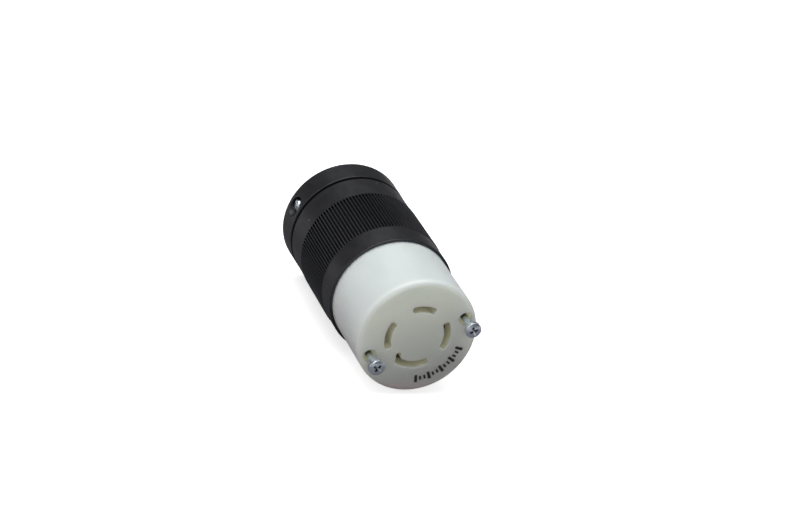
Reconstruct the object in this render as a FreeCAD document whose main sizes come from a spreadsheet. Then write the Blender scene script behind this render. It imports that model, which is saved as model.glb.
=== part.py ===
"""Female locking cord connector with four slots, as an assembly of separate pieces.

The origin is the centre of the mating face. The face looks along -Y and the cord leaves along +Y. The hot
slots are at +X and -X of the axis, the neutral slot above it and the ground slot below it. Sizes are in
millimetres. Angles are in degrees, seen from in front of the face and counted from +X towards +Z.
"""
import FreeCAD, Part
import math
import os
import re

import PartDesign
import Sketcher
from FreeCAD import Placement, Rotation, Vector

# ---------------------------------------------------------------- driving dimensions

DIMENSIONS = (
    # the white contact carrier
    ("face_radius", 26.2, "outside radius of the carrier"),
    ("face_round", 2.2, "round between the mating face and the side"),
    ("shoulder", 37.0, "face to the shoulder that seats in the shell"),
    ("tail_radius", 24.2, "radius of the carrier behind the shoulder"),
    ("tail_end", 58.0, "face to the carrier's rear end"),
    ("front_wall", 7.5, "thickness of the slotted wall"),
    ("pocket_inner", 9.6, "inside radius of the contact pockets"),
    ("pocket_outer", 16.4, "outside radius of the contact pockets"),
    ("pocket_span", 48.0, "angle that a contact pocket covers"),
    ("window_start", 44.5, "face to the front of a terminal window"),
    ("window_end", 55.5, "face to the rear of a terminal window"),
    ("window_half", 4.4, "half the width of a terminal window"),
    # slots
    ("slot_inner", 11.6, "inside radius of the blade slots"),
    ("slot_outer", 14.5, "outside radius of the blade slots"),
    ("hot_span", 55.0, "angle of a hot slot"),
    ("neutral_span", 45.0, "angle of the neutral slot"),
    ("ground_span", 64.5, "angle of the ground slot"),
    ("hot_left_offset", -2.0, "left hot slot's middle from its contact's middle"),
    ("hot_right_offset", 3.0, "right hot slot's middle from its contact's middle"),
    ("neutral_offset", -2.5, "neutral slot's middle from its contact's middle"),
    ("ground_offset", -1.75, "ground slot's middle from its contact's middle"),
    ("hook_near", 5.6, "axis to the near side of the ground slot's hook"),
    ("hook_far", 7.7, "axis to the far side of the ground slot's hook"),
    ("hook_top", 7.6, "axis to the blind end of the hook"),
    ("hook_foot", 12.2, "axis to the end of the hook that lies inside the slot"),
    ("hot_left", 180.0, "place of the left hot slot"),
    ("hot_right", 0.0, "place of the right hot slot"),
    ("neutral", 90.0, "place of the neutral slot"),
    ("ground", 270.0, "place of the ground slot"),
    # black outer shell
    ("shell_front", 34.0, "face to the shell's front edge"),
    ("lip_bore", 26.3, "radius of the shell's mouth"),
    ("lip_round", 0.4, "round on the shell's front edge"),
    ("seat", 37.05, "face to the seat that stops the shoulder"),
    ("shell_bore", 24.3, "radius of the shell's main bore"),
    ("front_band", 27.5, "radius of the smooth front band"),
    ("grip_front", 45.8, "face to the front of the ribbed grip"),
    ("grip_rear", 75.8, "face to the rear of the ribbed grip"),
    ("grip_core", 26.4, "radius of the wall under the ribs"),
    ("rib_root", 26.7, "radius between the ribs"),
    ("rib_tip", 27.85, "radius over the ribs"),
    ("rib_count", 120, "ribs around the grip"),
    ("rib_foot", 0.34, "half a rib's width at its foot, as a share of the pitch"),
    ("rib_side", 0.24, "half a rib's width under its crest, as a share of the pitch"),
    ("rib_crest", 0.18, "height of a rib's rounded crest"),
    ("rib_bury", 0.7, "how deep the rib ring reaches in from the ribs' feet"),
    ("waist", 27.5, "radius behind the grip"),
    ("shell_rear", 89.8, "face to the shell's rear shoulder"),
    ("bulkhead", 87.6, "face to the wall that closes the wiring space"),
    ("spigot", 26.2, "radius of the spigot that enters the clamp housing"),
    ("spigot_end", 92.6, "face to the end of the spigot"),
    ("cord_hole", 13.0, "radius of the cord openings"),
    ("boss_front", 40.0, "face to the front of a screw boss"),
    ("boss_rear", 54.0, "face to the rear of a screw boss"),
    ("boss_radius", 3.1, "outside radius of a screw boss"),
    ("channel_half", 3.25, "half the width of the carrier's boss channel"),
    # rear clamp housing
    ("housing_front", 91.6, "face to the front of the clamp housing"),
    ("housing_rear", 104.4, "face to the rear of the clamp housing"),
    ("housing_small", 27.6, "radius at the front of the housing"),
    ("housing_large", 27.8, "radius at the rear of the housing"),
    ("housing_round", 1.3, "round on the rear rim"),
    ("cavity_rear", 102.4, "face to the rear wall of the jaw space"),
    ("cavity_half", 21.1, "half the jaw space along the clamp's travel"),
    ("cavity_side", 17.8, "half the jaw space across the clamp's travel"),
    ("cavity_radius", 26.0, "radius that bounds the jaw space"),
    ("access_radius", 4.05, "radius of the holes over the clamp screws"),
    ("clamp_turn", 190.0, "direction of the clamp's travel"),
    ("clamp_level", 97.6, "face to the clamp screws"),
    # cord clamp
    ("jaw_gap", 2.5, "half the gap between the jaws"),
    ("jaw_back", 20.4, "axis to the flat back of a jaw"),
    ("jaw_side", 17.6, "half the width of a jaw"),
    ("jaw_radius", 25.4, "radius that trims the jaws"),
    ("jaw_front", 92.85, "face to the front of the jaws"),
    ("jaw_rear", 101.6, "face to the rear of the jaws"),
    ("grip_bore", 9.4, "radius that the jaws grip"),
    ("jaw_play", 0.2, "radial clearance of a clamp screw in a jaw"),
    ("tooth_width", 1.4, "width of a groove between gripping ridges"),
    ("tooth_depth", 0.9, "depth of a groove between gripping ridges"),
    ("tooth_spacing", 3.5, "distance between the two grooves"),
    ("clamp_offset", 13.2, "axis to a clamp screw"),
    ("nut_seat", 9.6, "axis to the inner face of a clamp nut"),
    ("nut_corner", 3.4, "corner radius of a clamp nut"),
    ("nut_thick", 2.6, "thickness of a clamp nut"),
    # contacts and terminals
    ("leaf_start", 8.0, "face to the front of the contact leaves"),
    ("leaf_end", 30.0, "face to the web behind the leaves"),
    ("leaf_thick", 0.8, "thickness of a contact leaf"),
    ("leaf_inner", 11.2, "inside radius of the inner leaf"),
    ("leaf_outer", 14.8, "outside radius of the outer leaf"),
    ("leaf_span", 32.0, "angle of a contact leaf"),
    ("tab_inner", 14.0, "axis to the inner face of the terminal tab"),
    ("tab_thick", 1.2, "thickness of the terminal tab"),
    ("tab_half", 4.0, "half the width of the terminal tab"),
    ("tab_end", 56.6, "face to the end of the terminal tab"),
    ("terminal_level", 50.0, "face to the terminal screws"),
    ("plate_inner", 18.7, "axis to the inner face of an open clamping plate"),
    ("plate_thick", 1.2, "thickness of a clamping plate"),
    ("plate_half", 4.1, "half the width of a clamping plate"),
    ("plate_long", 4.6, "half the length of a clamping plate"),
    ("wire_circle", 17.0, "axis to a wire hole"),
    ("wire_hole", 2.2, "radius of a wire hole"),
    # retainer and rivet
    ("retainer_front", 58.05, "face to the front of the retainer"),
    ("retainer_rear", 61.5, "face to the rear of the retainer"),
    ("retainer_radius", 24.0, "radius of the retainer"),
    ("mouth_flare", 0.5, "how much wider a wire hole is at the retainer's rear"),
    ("rivet_radius", 1.55, "radius of the rivet's shank"),
    ("rivet_front", 46.0, "face to the rivet's blind end"),
    ("rivet_head", 3.4, "radius of the rivet's head"),
    ("rivet_head_thick", 1.2, "thickness of the rivet's head"),
    # assembly screws and their captive washers
    ("screw_turn", 24.5, "place of the right assembly screw"),
    ("screw_circle", 21.4, "axis to an assembly screw"),
    ("screw_proud", 7.9, "underside of a backed-out head above the face"),
    ("screw_mouth", 2.8, "radius of the wide part of a screw's hole"),
    ("mouth_depth", 7.0, "depth of the wide part"),
    ("screw_hole", 1.95, "radius of the narrow part of a screw's hole"),
    ("chamber_start", 12.0, "face to the step that stops the washer"),
    ("chamber_radius", 2.6, "radius of the washer's chamber"),
    ("washer_front", 12.25, "face to the front of the washer"),
    ("washer_thick", 0.8, "thickness of the washer"),
    ("washer_radius", 2.4, "outside radius of the washer"),
    ("neck_radius", 1.45, "radius of the plain neck"),
    ("thread_start", 13.2, "face to the start of the thread"),
    ("thread_radius", 1.75, "radius over the thread"),
    ("screw_tip", 39.4, "face to the screw's tip"),
    ("tip_taper", 0.5, "how much the tip narrows in radius"),
    ("insert_front", 41.0, "face to the front of a threaded insert"),
    ("insert_rear", 49.0, "face to the rear of a threaded insert"),
    ("insert_radius", 2.35, "outside radius of a threaded insert"),
    ("insert_play", 0.01, "radial clearance of an insert in its boss"),
    # screw heads: assembly, clamp and terminal
    ("pan_radius", 3.45, "assembly screw's head radius"),
    ("pan_height", 2.4, "assembly screw's head height"),
    ("pan_dome", 8.0, "assembly screw's crown radius"),
    ("clamp_head", 2.9, "clamp screw's head radius"),
    ("clamp_head_height", 3.4, "clamp screw's head height"),
    ("clamp_dome", 4.6, "clamp screw's crown radius"),
    ("clamp_shank", 1.58, "clamp screw's shank radius"),
    ("clamp_length", 33.0, "clamp screw's length under the head"),
    ("terminal_head", 3.7, "terminal screw's head radius"),
    ("terminal_head_height", 2.3, "terminal screw's head height"),
    ("terminal_dome", 7.0, "terminal screw's crown radius"),
    ("terminal_shank", 2.08, "terminal screw's shank radius"),
    ("terminal_length", 6.0, "terminal screw's length under the head"),
    ("recess_depth", 1.5, "depth of a cross recess"),
    ("recess_wide", 2.1, "half the length of a cross recess"),
    ("recess_arm", 0.55, "half the width of a cross recess's arm"),
    ("recess_floor", 0.8, "radius of a cross recess's floor"),
    # clearances
    ("running", 0.05, "radial clearance of a shaft that turns in a hole"),
    ("overrun", 1.0, "how far a cutting shape runs past a surface"),
)

doc = FreeCAD.newDocument("locking_connector")
sheet = doc.addObject("Spreadsheet::Sheet", "dims")
for row, (alias, number, note) in enumerate(DIMENSIONS, start=1):
    sheet.set(f"A{row}", note)
    sheet.set(f"B{row}", str(number))
    sheet.setAlias(f"B{row}", alias)
doc.recompute()

ALIASES = {alias for alias, _, _ in DIMENSIONS}
NODES = []


def size(alias):
    """A driving dimension's value, read from the sheet."""
    return float(sheet.get(alias))


def bind(obj, prop, text):
    """Bind a property to an expression in which bare words are the sheet's aliases."""
    def on_sheet(match):
        word = match.group()
        return f"dims.{word}" if word in ALIASES else word
    obj.setExpression(prop, re.sub(r"[a-z_]+", on_sheet, str(text)))


# ---------------------------------------------------------------- primitives and booleans

# the turn that carries a primitive's own +Z to each direction
TURN = {
    "z": Rotation(),
    "y": Rotation(Vector(1, 0, 0), -90),
    "-y": Rotation(Vector(1, 0, 0), 90),
    "x": Rotation(Vector(0, 1, 0), 90),
    "-x": Rotation(Vector(0, 1, 0), -90),
}


def primitive(kind, name, at, towards="z", **sizes):
    """A Part primitive whose sizes and place are bound to the sheet."""
    obj = doc.addObject(f"Part::{kind}", name)
    for prop, text in sizes.items():
        bind(obj, prop, text)
    obj.Placement = Placement(Vector(), TURN[towards])
    for letter, text in zip("xyz", at):
        bind(obj, f"Placement.Base.{letter}", text)
    return obj


def rod(name, radius, length, at, towards="y", **more):
    return primitive("Cylinder", name, at, towards, Radius=radius, Height=length, **more)


def block(name, low, high):
    """A box between two corners."""
    spans = [f"({top}) - ({bottom})" for bottom, top in zip(low, high)]
    return primitive("Box", name, low, Length=spans[0], Width=spans[1], Height=spans[2])


def fuse(name, *shapes):
    obj = doc.addObject("Part::MultiFuse", name)
    obj.Shapes = list(shapes)
    return obj


def cut(name, base, tool):
    obj = doc.addObject("Part::Cut", name)
    obj.Base = base
    obj.Tool = tool
    return obj


def common(name, first, second):
    obj = doc.addObject("Part::MultiCommon", name)
    obj.Shapes = [first, second]
    return obj


def at_angle(obj, alias):
    """Turn a shape about the connector's axis, from +X towards +Z, by an angle from the sheet."""
    obj.Placement = Placement(Vector(), Rotation(Vector(0, 1, 0), -size(alias)))
    bind(obj, "Placement.Rotation.Angle", f"-({alias})")
    return obj


# a turned placement keeps its axis until its angle's expression is read
FIRST_TURN = Rotation(Vector(0, 1, 0), -30)


def sector(name, inner, outer, span, start, end, centre):
    """A stretch of a ring around the axis, from y = start to y = end, with its middle at an angle."""
    length = f"({end}) - ({start})"
    ring = cut(
        f"{name}_ring",
        rod(f"{name}_outer", outer, length, ("0", start, "0"), Angle=span),
        rod(f"{name}_inner", inner, length, ("0", start, "0")),
    )
    ring.Placement = Placement(Vector(), FIRST_TURN)
    bind(ring, "Placement.Rotation.Angle", f"-(({centre}) + ({span}) / 2)")
    return ring


def node(obj, label):
    obj.Label = label
    NODES.append(obj)
    return obj


# ---------------------------------------------------------------- turned bodies

def revolved(name, outline):
    """A PartDesign body turned about the Y axis from an outline of (radius, distance behind the face)."""
    body = doc.addObject("PartDesign::Body", name)
    sketch = body.newObject("Sketcher::SketchObject", f"{name}_outline")
    plane = next(f for f in body.Origin.OriginFeatures if f.Role == "XY_Plane")
    sketch.AttachmentSupport = (plane, [""])
    sketch.MapMode = "FlatFace"
    points = [Vector(numeric(across), numeric(along), 0) for across, along in outline]
    for start, end in zip(points, points[1:] + points[:1]):
        sketch.addGeometry(Part.LineSegment(start, end), False)
    count = len(outline)
    for i in range(count):
        sketch.addConstraint(Sketcher.Constraint("Coincident", i, 2, (i + 1) % count, 1))
    for i, (across, along) in enumerate(outline):
        pin_to_axes(sketch, i, across, along, points[i])
    spin = body.newObject("PartDesign::Revolution", f"{name}_turned")
    spin.Profile = sketch
    spin.ReferenceAxis = (sketch, ["V_Axis"])
    spin.Angle = 360
    sketch.Visibility = False
    doc.recompute()
    return body


def pin_to_axes(sketch, line, across, along, point):
    """Hold a line's start at its two distances from the sketch's axes, each bound to the sheet."""
    for kind, text, number, axis in (
        ("DistanceX", across, point.x, -2),
        ("DistanceY", along, point.y, -1),
    ):
        if number == 0:
            sketch.addConstraint(Sketcher.Constraint("PointOnObject", line, 1, axis))
            continue
        index = sketch.addConstraint(Sketcher.Constraint(kind, -1, 1, line, 1, number))
        bind(sketch, f"Constraints[{index}]", text)


def numeric(text):
    """The value of a sum of aliases and numbers."""
    total = 0.0
    for sign, word in re.findall(r"([+-]?)\s*([a-z_]+|[\d.]+)", text):
        number = size(word) if word in ALIASES else float(word)
        total += -number if sign == "-" else number
    return total


def round_edge(body, name, radius, edge_radius, edge_y):
    """Round the one circular edge of a turned body at a given radius and place."""
    base = body.Tip
    for i, edge in enumerate(base.Shape.Edges, start=1):
        curve = edge.Curve
        if not isinstance(curve, Part.Circle):
            continue
        if abs(curve.Radius - edge_radius) < 1e-4 and abs(curve.Center.y - edge_y) < 1e-4:
            fillet = body.newObject("PartDesign::Fillet", name)
            fillet.Base = (base, [f"Edge{i}"])
            bind(fillet, "Radius", radius)
            doc.recompute()
            return
    raise RuntimeError(f"{name}: no circular edge at radius {edge_radius}")


# ---------------------------------------------------------------- black outer shell

def rib_ring():
    """The ring of straight grip ribs, each with a rounded crest, as one outline pushed along the axis."""
    count = int(size("rib_count"))
    pitch = 2 * math.pi / count
    root, tip, side = size("rib_root"), size("rib_tip"), size("rib_tip") - size("rib_crest")
    front, rear = size("grip_front"), size("grip_rear")
    foot_turn, side_turn = size("rib_foot") * pitch, size("rib_side") * pitch

    def point(radius, angle):
        return Vector(radius * math.cos(angle), front, radius * math.sin(angle))

    edges = []
    for i in range(count):
        middle = i * pitch
        foot_a, foot_b = point(root, middle - foot_turn), point(root, middle + foot_turn)
        side_a, side_b = point(side, middle - side_turn), point(side, middle + side_turn)
        edges.append(Part.LineSegment(foot_a, side_a).toShape())
        edges.append(Part.Arc(side_a, point(tip, middle), side_b).toShape())
        edges.append(Part.LineSegment(side_b, foot_b).toShape())
        edges.append(Part.LineSegment(foot_b, point(root, middle + pitch - foot_turn)).toShape())
    outside = Part.Wire(edges)
    inner_circle = Part.makeCircle(root - size("rib_bury"), Vector(0, front, 0), Vector(0, 1, 0))
    inside = Part.Wire([inner_circle])
    face = Part.Face([outside, inside])
    ring = doc.addObject("Part::Feature", "grip_ribs")
    ring.Shape = face.extrude(Vector(0, rear - front, 0))
    return ring


def outer_shell():
    body = revolved("shell_blank", (
        ("lip_bore", "shell_front"),
        ("front_band", "shell_front"),
        ("front_band", "grip_front"),
        ("grip_core", "grip_front"),
        ("grip_core", "grip_rear"),
        ("waist", "grip_rear"),
        ("waist", "shell_rear"),
        ("spigot", "shell_rear"),
        ("spigot", "spigot_end"),
        ("cord_hole", "spigot_end"),
        ("cord_hole", "bulkhead"),
        ("shell_bore", "bulkhead"),
        ("shell_bore", "seat"),
        ("lip_bore", "seat"),
    ))
    round_edge(body, "shell_lip_round", "lip_round", size("front_band"), size("shell_front"))
    bosses, holes = [], []
    for side, sign in (("right", ""), ("left", "-")):
        place = f"{sign}screw_circle"
        bosses.append(rod(
            f"boss_{side}", "boss_radius", "boss_rear - boss_front", (place, "boss_front", "0")))
        holes.append(rod(
            f"boss_socket_{side}", "insert_radius + insert_play",
            "insert_rear - boss_front", (place, "boss_front", "0"),
        ))
        holes.append(rod(
            f"boss_clearance_{side}", "screw_hole", "boss_rear - boss_front + overrun",
            (place, "boss_front", "0"),
        ))
    joined = fuse("shell_joined", body, rib_ring(), at_angle(fuse("bosses", *bosses), "screw_turn"))
    node(cut("shell_cut", joined, at_angle(fuse("boss_holes", *holes), "screw_turn")), "outer_shell")


def threaded_inserts():
    """Two brass inserts in the shell's bosses, which the assembly screws thread into."""
    tubes = []
    for side, sign in (("right", ""), ("left", "-")):
        at = (f"{sign}screw_circle", "insert_front", "0")
        length = "insert_rear - insert_front"
        tubes.append(cut(
            f"insert_{side}",
            rod(f"insert_outside_{side}", "insert_radius", length, at),
            rod(f"insert_thread_{side}", "thread_radius + running", length, at),
        ))
    pair = doc.addObject("Part::Compound", "insert_pair")
    pair.Links = tubes
    node(at_angle(pair, "screw_turn"), "threaded_inserts")


# ---------------------------------------------------------------- rear clamp housing

def clamp_housing():
    body = revolved("housing_blank", (
        ("spigot + running", "housing_front"),
        ("housing_small", "housing_front"),
        ("housing_large", "housing_rear"),
        ("cord_hole", "housing_rear"),
        ("cord_hole", "spigot_end + running"),
        ("spigot + running", "spigot_end + running"),
    ))
    round_edge(body, "housing_rim_round", "housing_round", size("housing_large"), size("housing_rear"))
    space = common(
        "jaw_space",
        block(
            "jaw_space_box",
            ("-cavity_half", "housing_front", "-cavity_side"),
            ("cavity_half", "cavity_rear", "cavity_side"),
        ),
        rod("jaw_space_round", "cavity_radius", "cavity_rear - housing_front", ("0", "housing_front", "0")),
    )
    access = [
        rod(
            f"access_{side}", "access_radius", "housing_large - jaw_back + overrun",
            (f"{sign}jaw_back", "clamp_level", f"{across}clamp_offset"), towards,
        )
        for side, sign, across, towards in (("a", "", "-", "x"), ("b", "-", "", "-x"))
    ]
    tools = at_angle(fuse("housing_spaces", space, *access), "clamp_turn")
    node(cut("housing_cut", body, tools), "clamp_housing")


# ---------------------------------------------------------------- cord clamp

def clamp_jaw(side, sign, across, away):
    """One jaw: a half ring with gripping ridges, a hole for its own screw and a nut pocket for the other."""
    inner, outer = ("jaw_gap", "jaw_back") if sign == "" else ("-jaw_back", "-jaw_gap")
    blank = common(
        f"jaw_{side}_blank",
        block(f"jaw_{side}_box", (inner, "jaw_front", "-jaw_side"), (outer, "jaw_rear", "jaw_side")),
        rod(f"jaw_{side}_round", "jaw_radius", "jaw_rear - jaw_front", ("0", "jaw_front", "0")),
    )
    own, other = f"{across}clamp_offset", f"{'' if across else '-'}clamp_offset"
    start = f"{sign}nut_seat"
    tools = [
        rod(f"jaw_{side}_grip", "grip_bore", "jaw_rear - jaw_front", ("0", "jaw_front", "0")),
        rod(f"jaw_{side}_screw_hole", "clamp_shank + jaw_play", "jaw_back", ("0", "clamp_level", own), away),
        rod(
            f"jaw_{side}_thread_hole", "clamp_shank + jaw_play", "jaw_back",
            ("0", "clamp_level", other), away,
        ),
        primitive(
            "Prism", f"jaw_{side}_nut_pocket", (start, "clamp_level", other), away,
            Circumradius="nut_corner + running", Height="jaw_back",
        ),
    ]
    for i, step in enumerate(("-", "+")):
        tools.append(rod(
            f"jaw_{side}_groove_{i}", "grip_bore + tooth_depth", "tooth_width",
            ("0", f"(jaw_front + jaw_rear) / 2 {step} tooth_spacing / 2 - tooth_width / 2", "0"),
        ))
    node(
        at_angle(cut(f"jaw_{side}_cut", blank, fuse(f"jaw_{side}_spaces", *tools)), "clamp_turn"),
        f"clamp_jaw_{side}",
    )


def clamp_nut(side, sign, across, away):
    """The hexagonal nut that lies in a jaw's pocket and takes the opposite screw."""
    other = f"{'' if across else '-'}clamp_offset"
    nut = cut(
        f"nut_{side}_cut",
        primitive(
            "Prism", f"nut_{side}_hexagon", (f"{sign}(nut_seat + running)", "clamp_level", other), away,
            Circumradius="nut_corner", Height="nut_thick",
        ),
        rod(f"nut_{side}_thread", "clamp_shank + running", "jaw_back", ("0", "clamp_level", other), away),
    )
    node(at_angle(nut, "clamp_turn"), f"clamp_nut_{side}")


# ---------------------------------------------------------------- screws

def cross_recess(name, at_depth, towards):
    """The tool for a cross recess: two crossed bars trimmed by a cone that narrows to the floor."""
    cone = primitive(
        "Cone", f"{name}_cone", at_depth("recess_depth"), towards,
        Radius1="recess_floor", Radius2="recess_wide", Height="recess_depth + running",
    )
    reach = {"x": (0, 1, 2), "-x": (0, 1, 2), "-y": (1, 0, 2)}[towards]
    bars = []
    for i, (wide, narrow) in enumerate(((reach[1], reach[2]), (reach[2], reach[1]))):
        low, high = list(at_depth("recess_depth")), list(at_depth("-running"))
        if towards.startswith("-"):
            low, high = high, low
        for axis, half in ((wide, "recess_wide"), (narrow, "recess_arm")):
            low[axis], high[axis] = f"({low[axis]}) - {half}", f"({high[axis]}) + {half}"
        bars.append(block(f"{name}_bar_{i}", low, high))
    return common(f"{name}_recess", cone, fuse(f"{name}_cross", *bars))


def domed_head(name, radius, height, dome, at_height, towards):
    """A pan head: a short cylinder whose top is trimmed by a sphere."""
    return common(
        f"{name}_head",
        rod(f"{name}_head_side", radius, height, at_height("0"), towards),
        primitive("Sphere", f"{name}_crown", at_height(f"{height} - {dome}"), towards, Radius=dome),
    )


def assembly_screw(side, sign):
    """A long screw through the carrier, backed out so that its head stands proud of the face."""
    name = f"assembly_{side}"
    place = f"{sign}screw_circle"

    def at_height(height):
        return (place, f"-screw_proud - ({height})", "0")

    def at_depth(depth):
        return at_height(f"pan_height - ({depth})")

    blank = fuse(
        f"{name}_blank",
        domed_head(name, "pan_radius", "pan_height", "pan_dome", at_height, "-y"),
        rod(f"{name}_neck", "neck_radius", "screw_proud + thread_start + overrun", at_height("0"), "y"),
        rod(
            f"{name}_thread", "thread_radius", "screw_tip - thread_start - overrun",
            (place, "thread_start", "0"),
        ),
        primitive(
            "Cone", f"{name}_tip", (place, "screw_tip - overrun", "0"), "y",
            Radius1="thread_radius", Radius2="thread_radius - tip_taper", Height="overrun",
        ),
    )
    screw = cut(f"{name}_cut", blank, cross_recess(name, at_depth, "-y"))
    node(at_angle(screw, "screw_turn"), f"assembly_screw_{side}")


def captive_washer(side, sign):
    """The ring that keeps a backed-out assembly screw in the carrier."""
    at = (f"{sign}screw_circle", "washer_front", "0")
    washer = cut(
        f"washer_{side}_cut",
        rod(f"washer_{side}_outside", "washer_radius", "washer_thick", at),
        rod(f"washer_{side}_inside", "neck_radius + running", "washer_thick", at),
    )
    node(at_angle(washer, "screw_turn"), f"captive_washer_{side}")


def clamp_screw(side, sign, across, away):
    """A cord clamp screw: its head bears on its own jaw and it threads into the other jaw's nut."""
    name = f"clamp_{side}"
    place = f"{across}clamp_offset"

    def at_height(height):
        return (f"{sign}(jaw_back + ({height}))", "clamp_level", place)

    def at_depth(depth):
        return at_height(f"clamp_head_height - ({depth})")

    towards_nut = "-x" if away == "x" else "x"
    blank = fuse(
        f"{name}_blank",
        domed_head(name, "clamp_head", "clamp_head_height", "clamp_dome", at_height, away),
        rod(f"{name}_shank", "clamp_shank", "clamp_length", at_height("0"), towards_nut),
    )
    screw = cut(f"{name}_cut", blank, cross_recess(name, at_depth, away))
    node(at_angle(screw, "clamp_turn"), f"clamp_screw_{side}")


def terminal_screw(pole):
    """A screw that drives a clamping plate towards a contact's tab."""
    name = f"terminal_{pole}"

    def at_height(height):
        return (f"plate_inner + plate_thick + ({height})", "terminal_level", "0")

    def at_depth(depth):
        return at_height(f"terminal_head_height - ({depth})")

    blank = fuse(
        f"{name}_blank",
        domed_head(name, "terminal_head", "terminal_head_height", "terminal_dome", at_height, "x"),
        rod(f"{name}_shank", "terminal_shank", "terminal_length", at_height("0"), "-x"),
    )
    screw = cut(f"{name}_cut", blank, cross_recess(name, at_depth, "x"))
    node(at_angle(screw, pole), f"terminal_screw_{pole}")


# ---------------------------------------------------------------- contacts and terminals

def contact(pole):
    """A brass contact: two curved leaves that grip a blade, a web, and a tapped tab for the wire."""
    name = f"contact_{pole}"
    leaf_ends = ("leaf_start", "leaf_end")
    shape = fuse(
        f"{name}_solid",
        sector(f"{name}_outer_leaf", "leaf_outer - leaf_thick", "leaf_outer", "leaf_span", *leaf_ends, "0"),
        sector(f"{name}_inner_leaf", "leaf_inner", "leaf_inner + leaf_thick", "leaf_span", *leaf_ends, "0"),
        sector(
            f"{name}_web", "leaf_inner", "leaf_outer", "leaf_span",
            "leaf_end - leaf_thick", "leaf_end", "0",
        ),
        block(
            f"{name}_tab",
            ("tab_inner", "leaf_end - leaf_thick", "-tab_half"),
            ("tab_inner + tab_thick", "tab_end", "tab_half"),
        ),
    )
    tapped = rod(
        f"{name}_thread", "terminal_shank + running", "tab_thick + 2 * overrun",
        ("tab_inner - overrun", "terminal_level", "0"), "x",
    )
    node(at_angle(cut(f"{name}_cut", shape, tapped), pole), f"{name}")


def clamping_plate(pole):
    """The plate under a terminal screw's head that presses the wire onto the tab."""
    name = f"plate_{pole}"
    plate = cut(
        f"{name}_cut",
        block(
            f"{name}_box",
            ("plate_inner", "terminal_level - plate_long", "-plate_half"),
            ("plate_inner + plate_thick", "terminal_level + plate_long", "plate_half"),
        ),
        rod(
            f"{name}_hole", "terminal_shank + running", "plate_thick + 2 * overrun",
            ("plate_inner - overrun", "terminal_level", "0"), "x",
        ),
    )
    node(at_angle(plate, pole), f"clamping_{name}")


# ---------------------------------------------------------------- white contact carrier

POLES = {"hot_left": "hot_span", "hot_right": "hot_span", "neutral": "neutral_span", "ground": "ground_span"}


def screw_passage(side, sign):
    """The stepped hole for an assembly screw, and the open channel that clears the shell's boss."""
    place = f"{sign}screw_circle"
    low, high = ("screw_circle", "face_radius + overrun") if sign == "" else (
        "-face_radius - overrun", "-screw_circle")
    return [
        rod(f"mouth_{side}", "screw_mouth", "mouth_depth + overrun", (place, "-overrun", "0")),
        rod(f"hole_{side}", "screw_hole", "chamber_start", (place, "0", "0")),
        rod(f"chamber_{side}", "chamber_radius", "tail_end - chamber_start", (place, "chamber_start", "0")),
        rod(
            f"channel_round_{side}", "channel_half", "tail_end - shoulder + overrun",
            (place, "shoulder", "0"),
        ),
        block(
            f"channel_{side}",
            (low, "shoulder", "-channel_half"),
            (high, "tail_end + overrun", "channel_half"),
        ),
    ]


def contact_carrier():
    body = revolved("carrier_blank", (
        ("0", "0"),
        ("face_radius", "0"),
        ("face_radius", "shoulder"),
        ("tail_radius", "shoulder"),
        ("tail_radius", "tail_end"),
        ("0", "tail_end"),
    ))
    round_edge(body, "face_round_edge", "face_round", size("face_radius"), 0.0)
    tools = []
    for pole, span in POLES.items():
        tools.append(sector(
            f"slot_{pole}", "slot_inner", "slot_outer", span,
            "-overrun", "front_wall + overrun", f"{pole} + {pole}_offset"))
        tools.append(sector(
            f"pocket_{pole}", "pocket_inner", "pocket_outer", "pocket_span",
            "front_wall", "tail_end + overrun", pole))
        tools.append(window(pole))
    tools.append(block(
        "ground_hook",
        ("-hook_far", "-overrun", "-hook_foot"),
        ("-hook_near", "front_wall + overrun", "-hook_top"),
    ))
    tools.append(rod(
        "rivet_hole", "rivet_radius + running", "tail_end - rivet_front + overrun",
        ("0", "rivet_front", "0"),
    ))
    passages = screw_passage("right", "") + screw_passage("left", "-")
    tools.append(at_angle(fuse("screw_passages", *passages), "screw_turn"))
    node(cut("carrier_cut", body, fuse("carrier_spaces", *tools)), "contact_carrier")


def window(pole):
    """The side opening for a terminal screw and its plate, with the wire's way in behind it."""
    opening = block(
        f"window_{pole}",
        ("tab_inner + tab_thick", "window_start", "-window_half"),
        ("face_radius + overrun", "window_end", "window_half"),
    )
    way_in = rod(
        f"way_in_{pole}", "wire_hole", "tail_end + overrun - terminal_level",
        ("wire_circle", "terminal_level", "0"),
    )
    return at_angle(fuse(f"window_space_{pole}", opening, way_in), pole)


def contact_retainer():
    """The plate that closes the contact pockets, with four wire holes and two channels for the bosses."""
    blank = rod(
        "retainer_blank", "retainer_radius", "retainer_rear - retainer_front", ("0", "retainer_front", "0"))
    length = "retainer_rear - retainer_front + 2 * overrun"
    start = "retainer_front - overrun"
    tools = [rod("retainer_rivet_hole", "rivet_radius + running", length, ("0", start, "0"))]
    for pole in POLES:
        hole = rod(f"wire_hole_{pole}", "wire_hole", length, ("wire_circle", start, "0"))
        tools.append(at_angle(fuse(f"wire_hole_turned_{pole}", hole, rod(
            f"wire_mouth_{pole}", "wire_hole + mouth_flare", "overrun",
            ("wire_circle", "retainer_rear - overrun / 2", "0"))), pole))
    notches = []
    for side, sign in (("right", ""), ("left", "-")):
        low, high = ("screw_circle", "face_radius") if sign == "" else ("-face_radius", "-screw_circle")
        notches.append(rod(
            f"notch_round_{side}", "channel_half", length, (f"{sign}screw_circle", start, "0")))
        notches.append(block(
            f"notch_{side}",
            (low, start, "-channel_half"),
            (high, "retainer_rear + overrun", "channel_half"),
        ))
    tools.append(at_angle(fuse("notches", *notches), "screw_turn"))
    node(cut("retainer_cut", blank, fuse("retainer_spaces", *tools)), "contact_retainer")


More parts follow.
